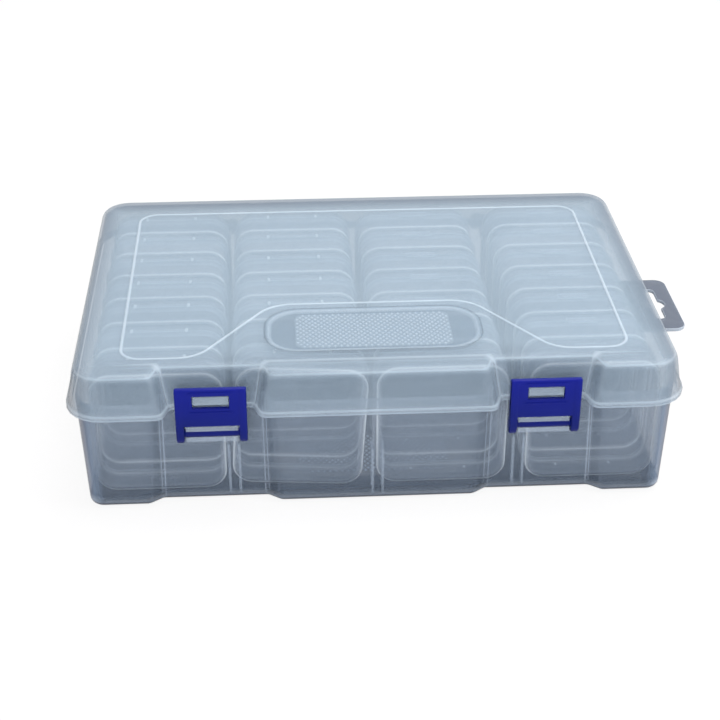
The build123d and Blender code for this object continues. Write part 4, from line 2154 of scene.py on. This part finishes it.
@dataclass(frozen=True)
class Studio:
    """Pale floor, soft lights and the camera."""

    focal_pixels: float = 1561.85
    frame_pixels: float = 720.0
    sensor: float = 36.0
    clip_end: float = 20.0
    yaw: float = 3.34
    pitch: float = 29.69
    roll: float = -0.09
    eye: Corner = (-38.47, -615.08, 370.83)
    target: Corner = (0.0, 0.0, 0.03)
    lamps: tuple[Lamp, ...] = (
        Lamp("overhead_softbox", (0.2, 0.25, 1.15), 1.1, 16.0),
        Lamp("front_softbox", (-0.1, -1.2, 0.55), 0.8, 11.5, mirrored=False),
        Lamp("right_softbox", (1.1, -0.2, 0.6), 0.6, 6.0),
    )
    floor_reach: float = 6.0
    floor_drop: float = 0.0002
    floor_grey: float = 0.8
    floor_near: float = 0.3
    floor_far: float = 0.9
    near_white: float = 0.88
    sky_strength: float = 0.5
    clear_layers: int = 64

    def camera(self) -> None:
        """Places the camera."""
        data = bpy.data.cameras.new("camera")
        data.sensor_width = self.sensor
        data.lens = self.focal_pixels / self.frame_pixels * self.sensor
        data.clip_end = self.clip_end
        yaw, pitch, roll = (math.radians(v) for v in (self.yaw, self.pitch, self.roll))
        level = math.cos(pitch)
        ahead = Vector((math.sin(yaw) * level, math.cos(yaw) * level, -math.sin(pitch)))
        right = Vector((math.cos(yaw), -math.sin(yaw), 0.0))
        up = right.cross(ahead)
        tilt = Matrix.Rotation(roll, 3, ahead)
        right, up = tilt @ right, tilt @ up
        turn = Matrix((right, up, -ahead)).transposed().to_4x4()
        made = bpy.data.objects.new("camera", data)
        made.matrix_world = Matrix.Translation(Vector(self.eye) * MM) @ turn
        bpy.context.scene.collection.objects.link(made)
        bpy.context.scene.camera = made

    def lights(self) -> None:
        """Hangs the soft lamps, each aimed at the case."""
        for lamp in self.lamps:
            data = bpy.data.lights.new(lamp.name, "AREA")
            data.shape = "SQUARE"
            data.size = lamp.size
            data.energy = lamp.watts
            made = bpy.data.objects.new(lamp.name, data)
            made.visible_glossy = lamp.mirrored
            made.location = lamp.place
            aim = Vector(self.target) - Vector(lamp.place)
            made.rotation_euler = aim.to_track_quat("-Z", "Y").to_euler()
            bpy.context.scene.collection.objects.link(made)

    def seen_white(self, sheet: NodeSheet) -> Flow:
        """1 for rays that show the background itself: camera, glossy and transmission rays."""
        rays = sheet.add("ShaderNodeLightPath", output="Is Camera Ray")
        return (rays + rays.twin("Is Glossy Ray") + rays.twin("Is Transmission Ray")).clamped()

    def floor(self) -> None:
        """Lays the pale floor, which shows as white farther from the case."""
        reach, low, grey = self.floor_reach, -self.floor_drop, self.floor_grey
        mesh = bpy.data.meshes.new("floor")
        corners = [(-reach, -reach, low), (reach, -reach, low), (reach, reach, low)]
        mesh.from_pydata([*corners, (-reach, reach, low)], [], [(0, 1, 2, 3)])
        made = bpy.data.objects.new("floor", mesh)
        bpy.context.scene.collection.objects.link(made)
        paint = bpy.data.materials.new("pale_floor")
        paint.use_nodes = True
        sheet = NodeSheet(paint.node_tree)
        matt = sheet.add("ShaderNodeBsdfDiffuse", {"Color": (grey, grey, grey, 1.0)})
        glow = sheet.add("ShaderNodeEmission", {"Color": (1.0, 1.0, 1.0, 1.0), "Strength": 1.0})
        place = sheet.add("ShaderNodeTexCoord", output="Object")
        away = sheet.add("ShaderNodeVectorMath", {0: place}, output="Value", operation="LENGTH")
        ends = {1: self.floor_near, 2: self.floor_far, 3: self.near_white, 4: 1.0}
        whiter = sheet.add("ShaderNodeMapRange", {"Value": away, **ends})
        share = self.seen_white(sheet) * whiter
        mixed = sheet.add("ShaderNodeMixShader", {0: share, 1: matt, 2: glow})
        sheet.add("ShaderNodeOutputMaterial", {"Surface": mixed})
        mesh.materials.append(paint)

    def sky(self) -> None:
        """Lights the world softly and shows it white."""
        world = bpy.data.worlds.new("studio")
        bpy.context.scene.world = world
        world.use_nodes = True
        sheet = NodeSheet(world.node_tree)
        seen = self.seen_white(sheet)
        strength = self.sky_strength + seen * (1.0 - self.sky_strength)
        back = sheet.add(
            "ShaderNodeBackground", {"Color": (1.0, 1.0, 1.0, 1.0), "Strength": strength}
        )
        sheet.add("ShaderNodeOutputWorld", {"Surface": back})

    def build(self) -> None:
        """Builds the whole studio."""
        scene = bpy.context.scene
        scene.view_settings.view_transform = "Standard"
        scene.cycles.transparent_max_bounces = self.clear_layers
        scene.cycles.sampling_pattern = "TABULATED_SOBOL"
        scene.cycles.denoising_input_passes = "RGB_ALBEDO"
        self.camera()
        self.lights()
        self.floor()
        self.sky()


# ---- The whole object ----------------------------------------------------------------------


def main() -> None:
    """Builds the thread box and its studio, in order."""
    logging.basicConfig(level=logging.INFO, format="%(name)s: %(message)s")
    plan, grip = CasePlan(), GripPad(centre_y=-49.38)
    Studio().build()
    LOG.info("studio set up")
    for piece in CaseBase(plan, grip).build():
        LOG.info("case base: %s", piece.name)
    for piece in CaseLid(replace(plan, step_milk_and_highlight=0.3), grip).build():
        LOG.info("case lid: %s", piece.name)
    for side, middle in zip(("left", "right"), plan.latches):
        piece = Latch(plan, f"latch_{side}", f"{side}_latch", middle).build()
        LOG.info("latch: %s", piece.name)
    count = BoxRack(SmallBox()).build()
    LOG.info("small boxes: %d, two halves each", count)


if __name__ == "__main__":
    main()
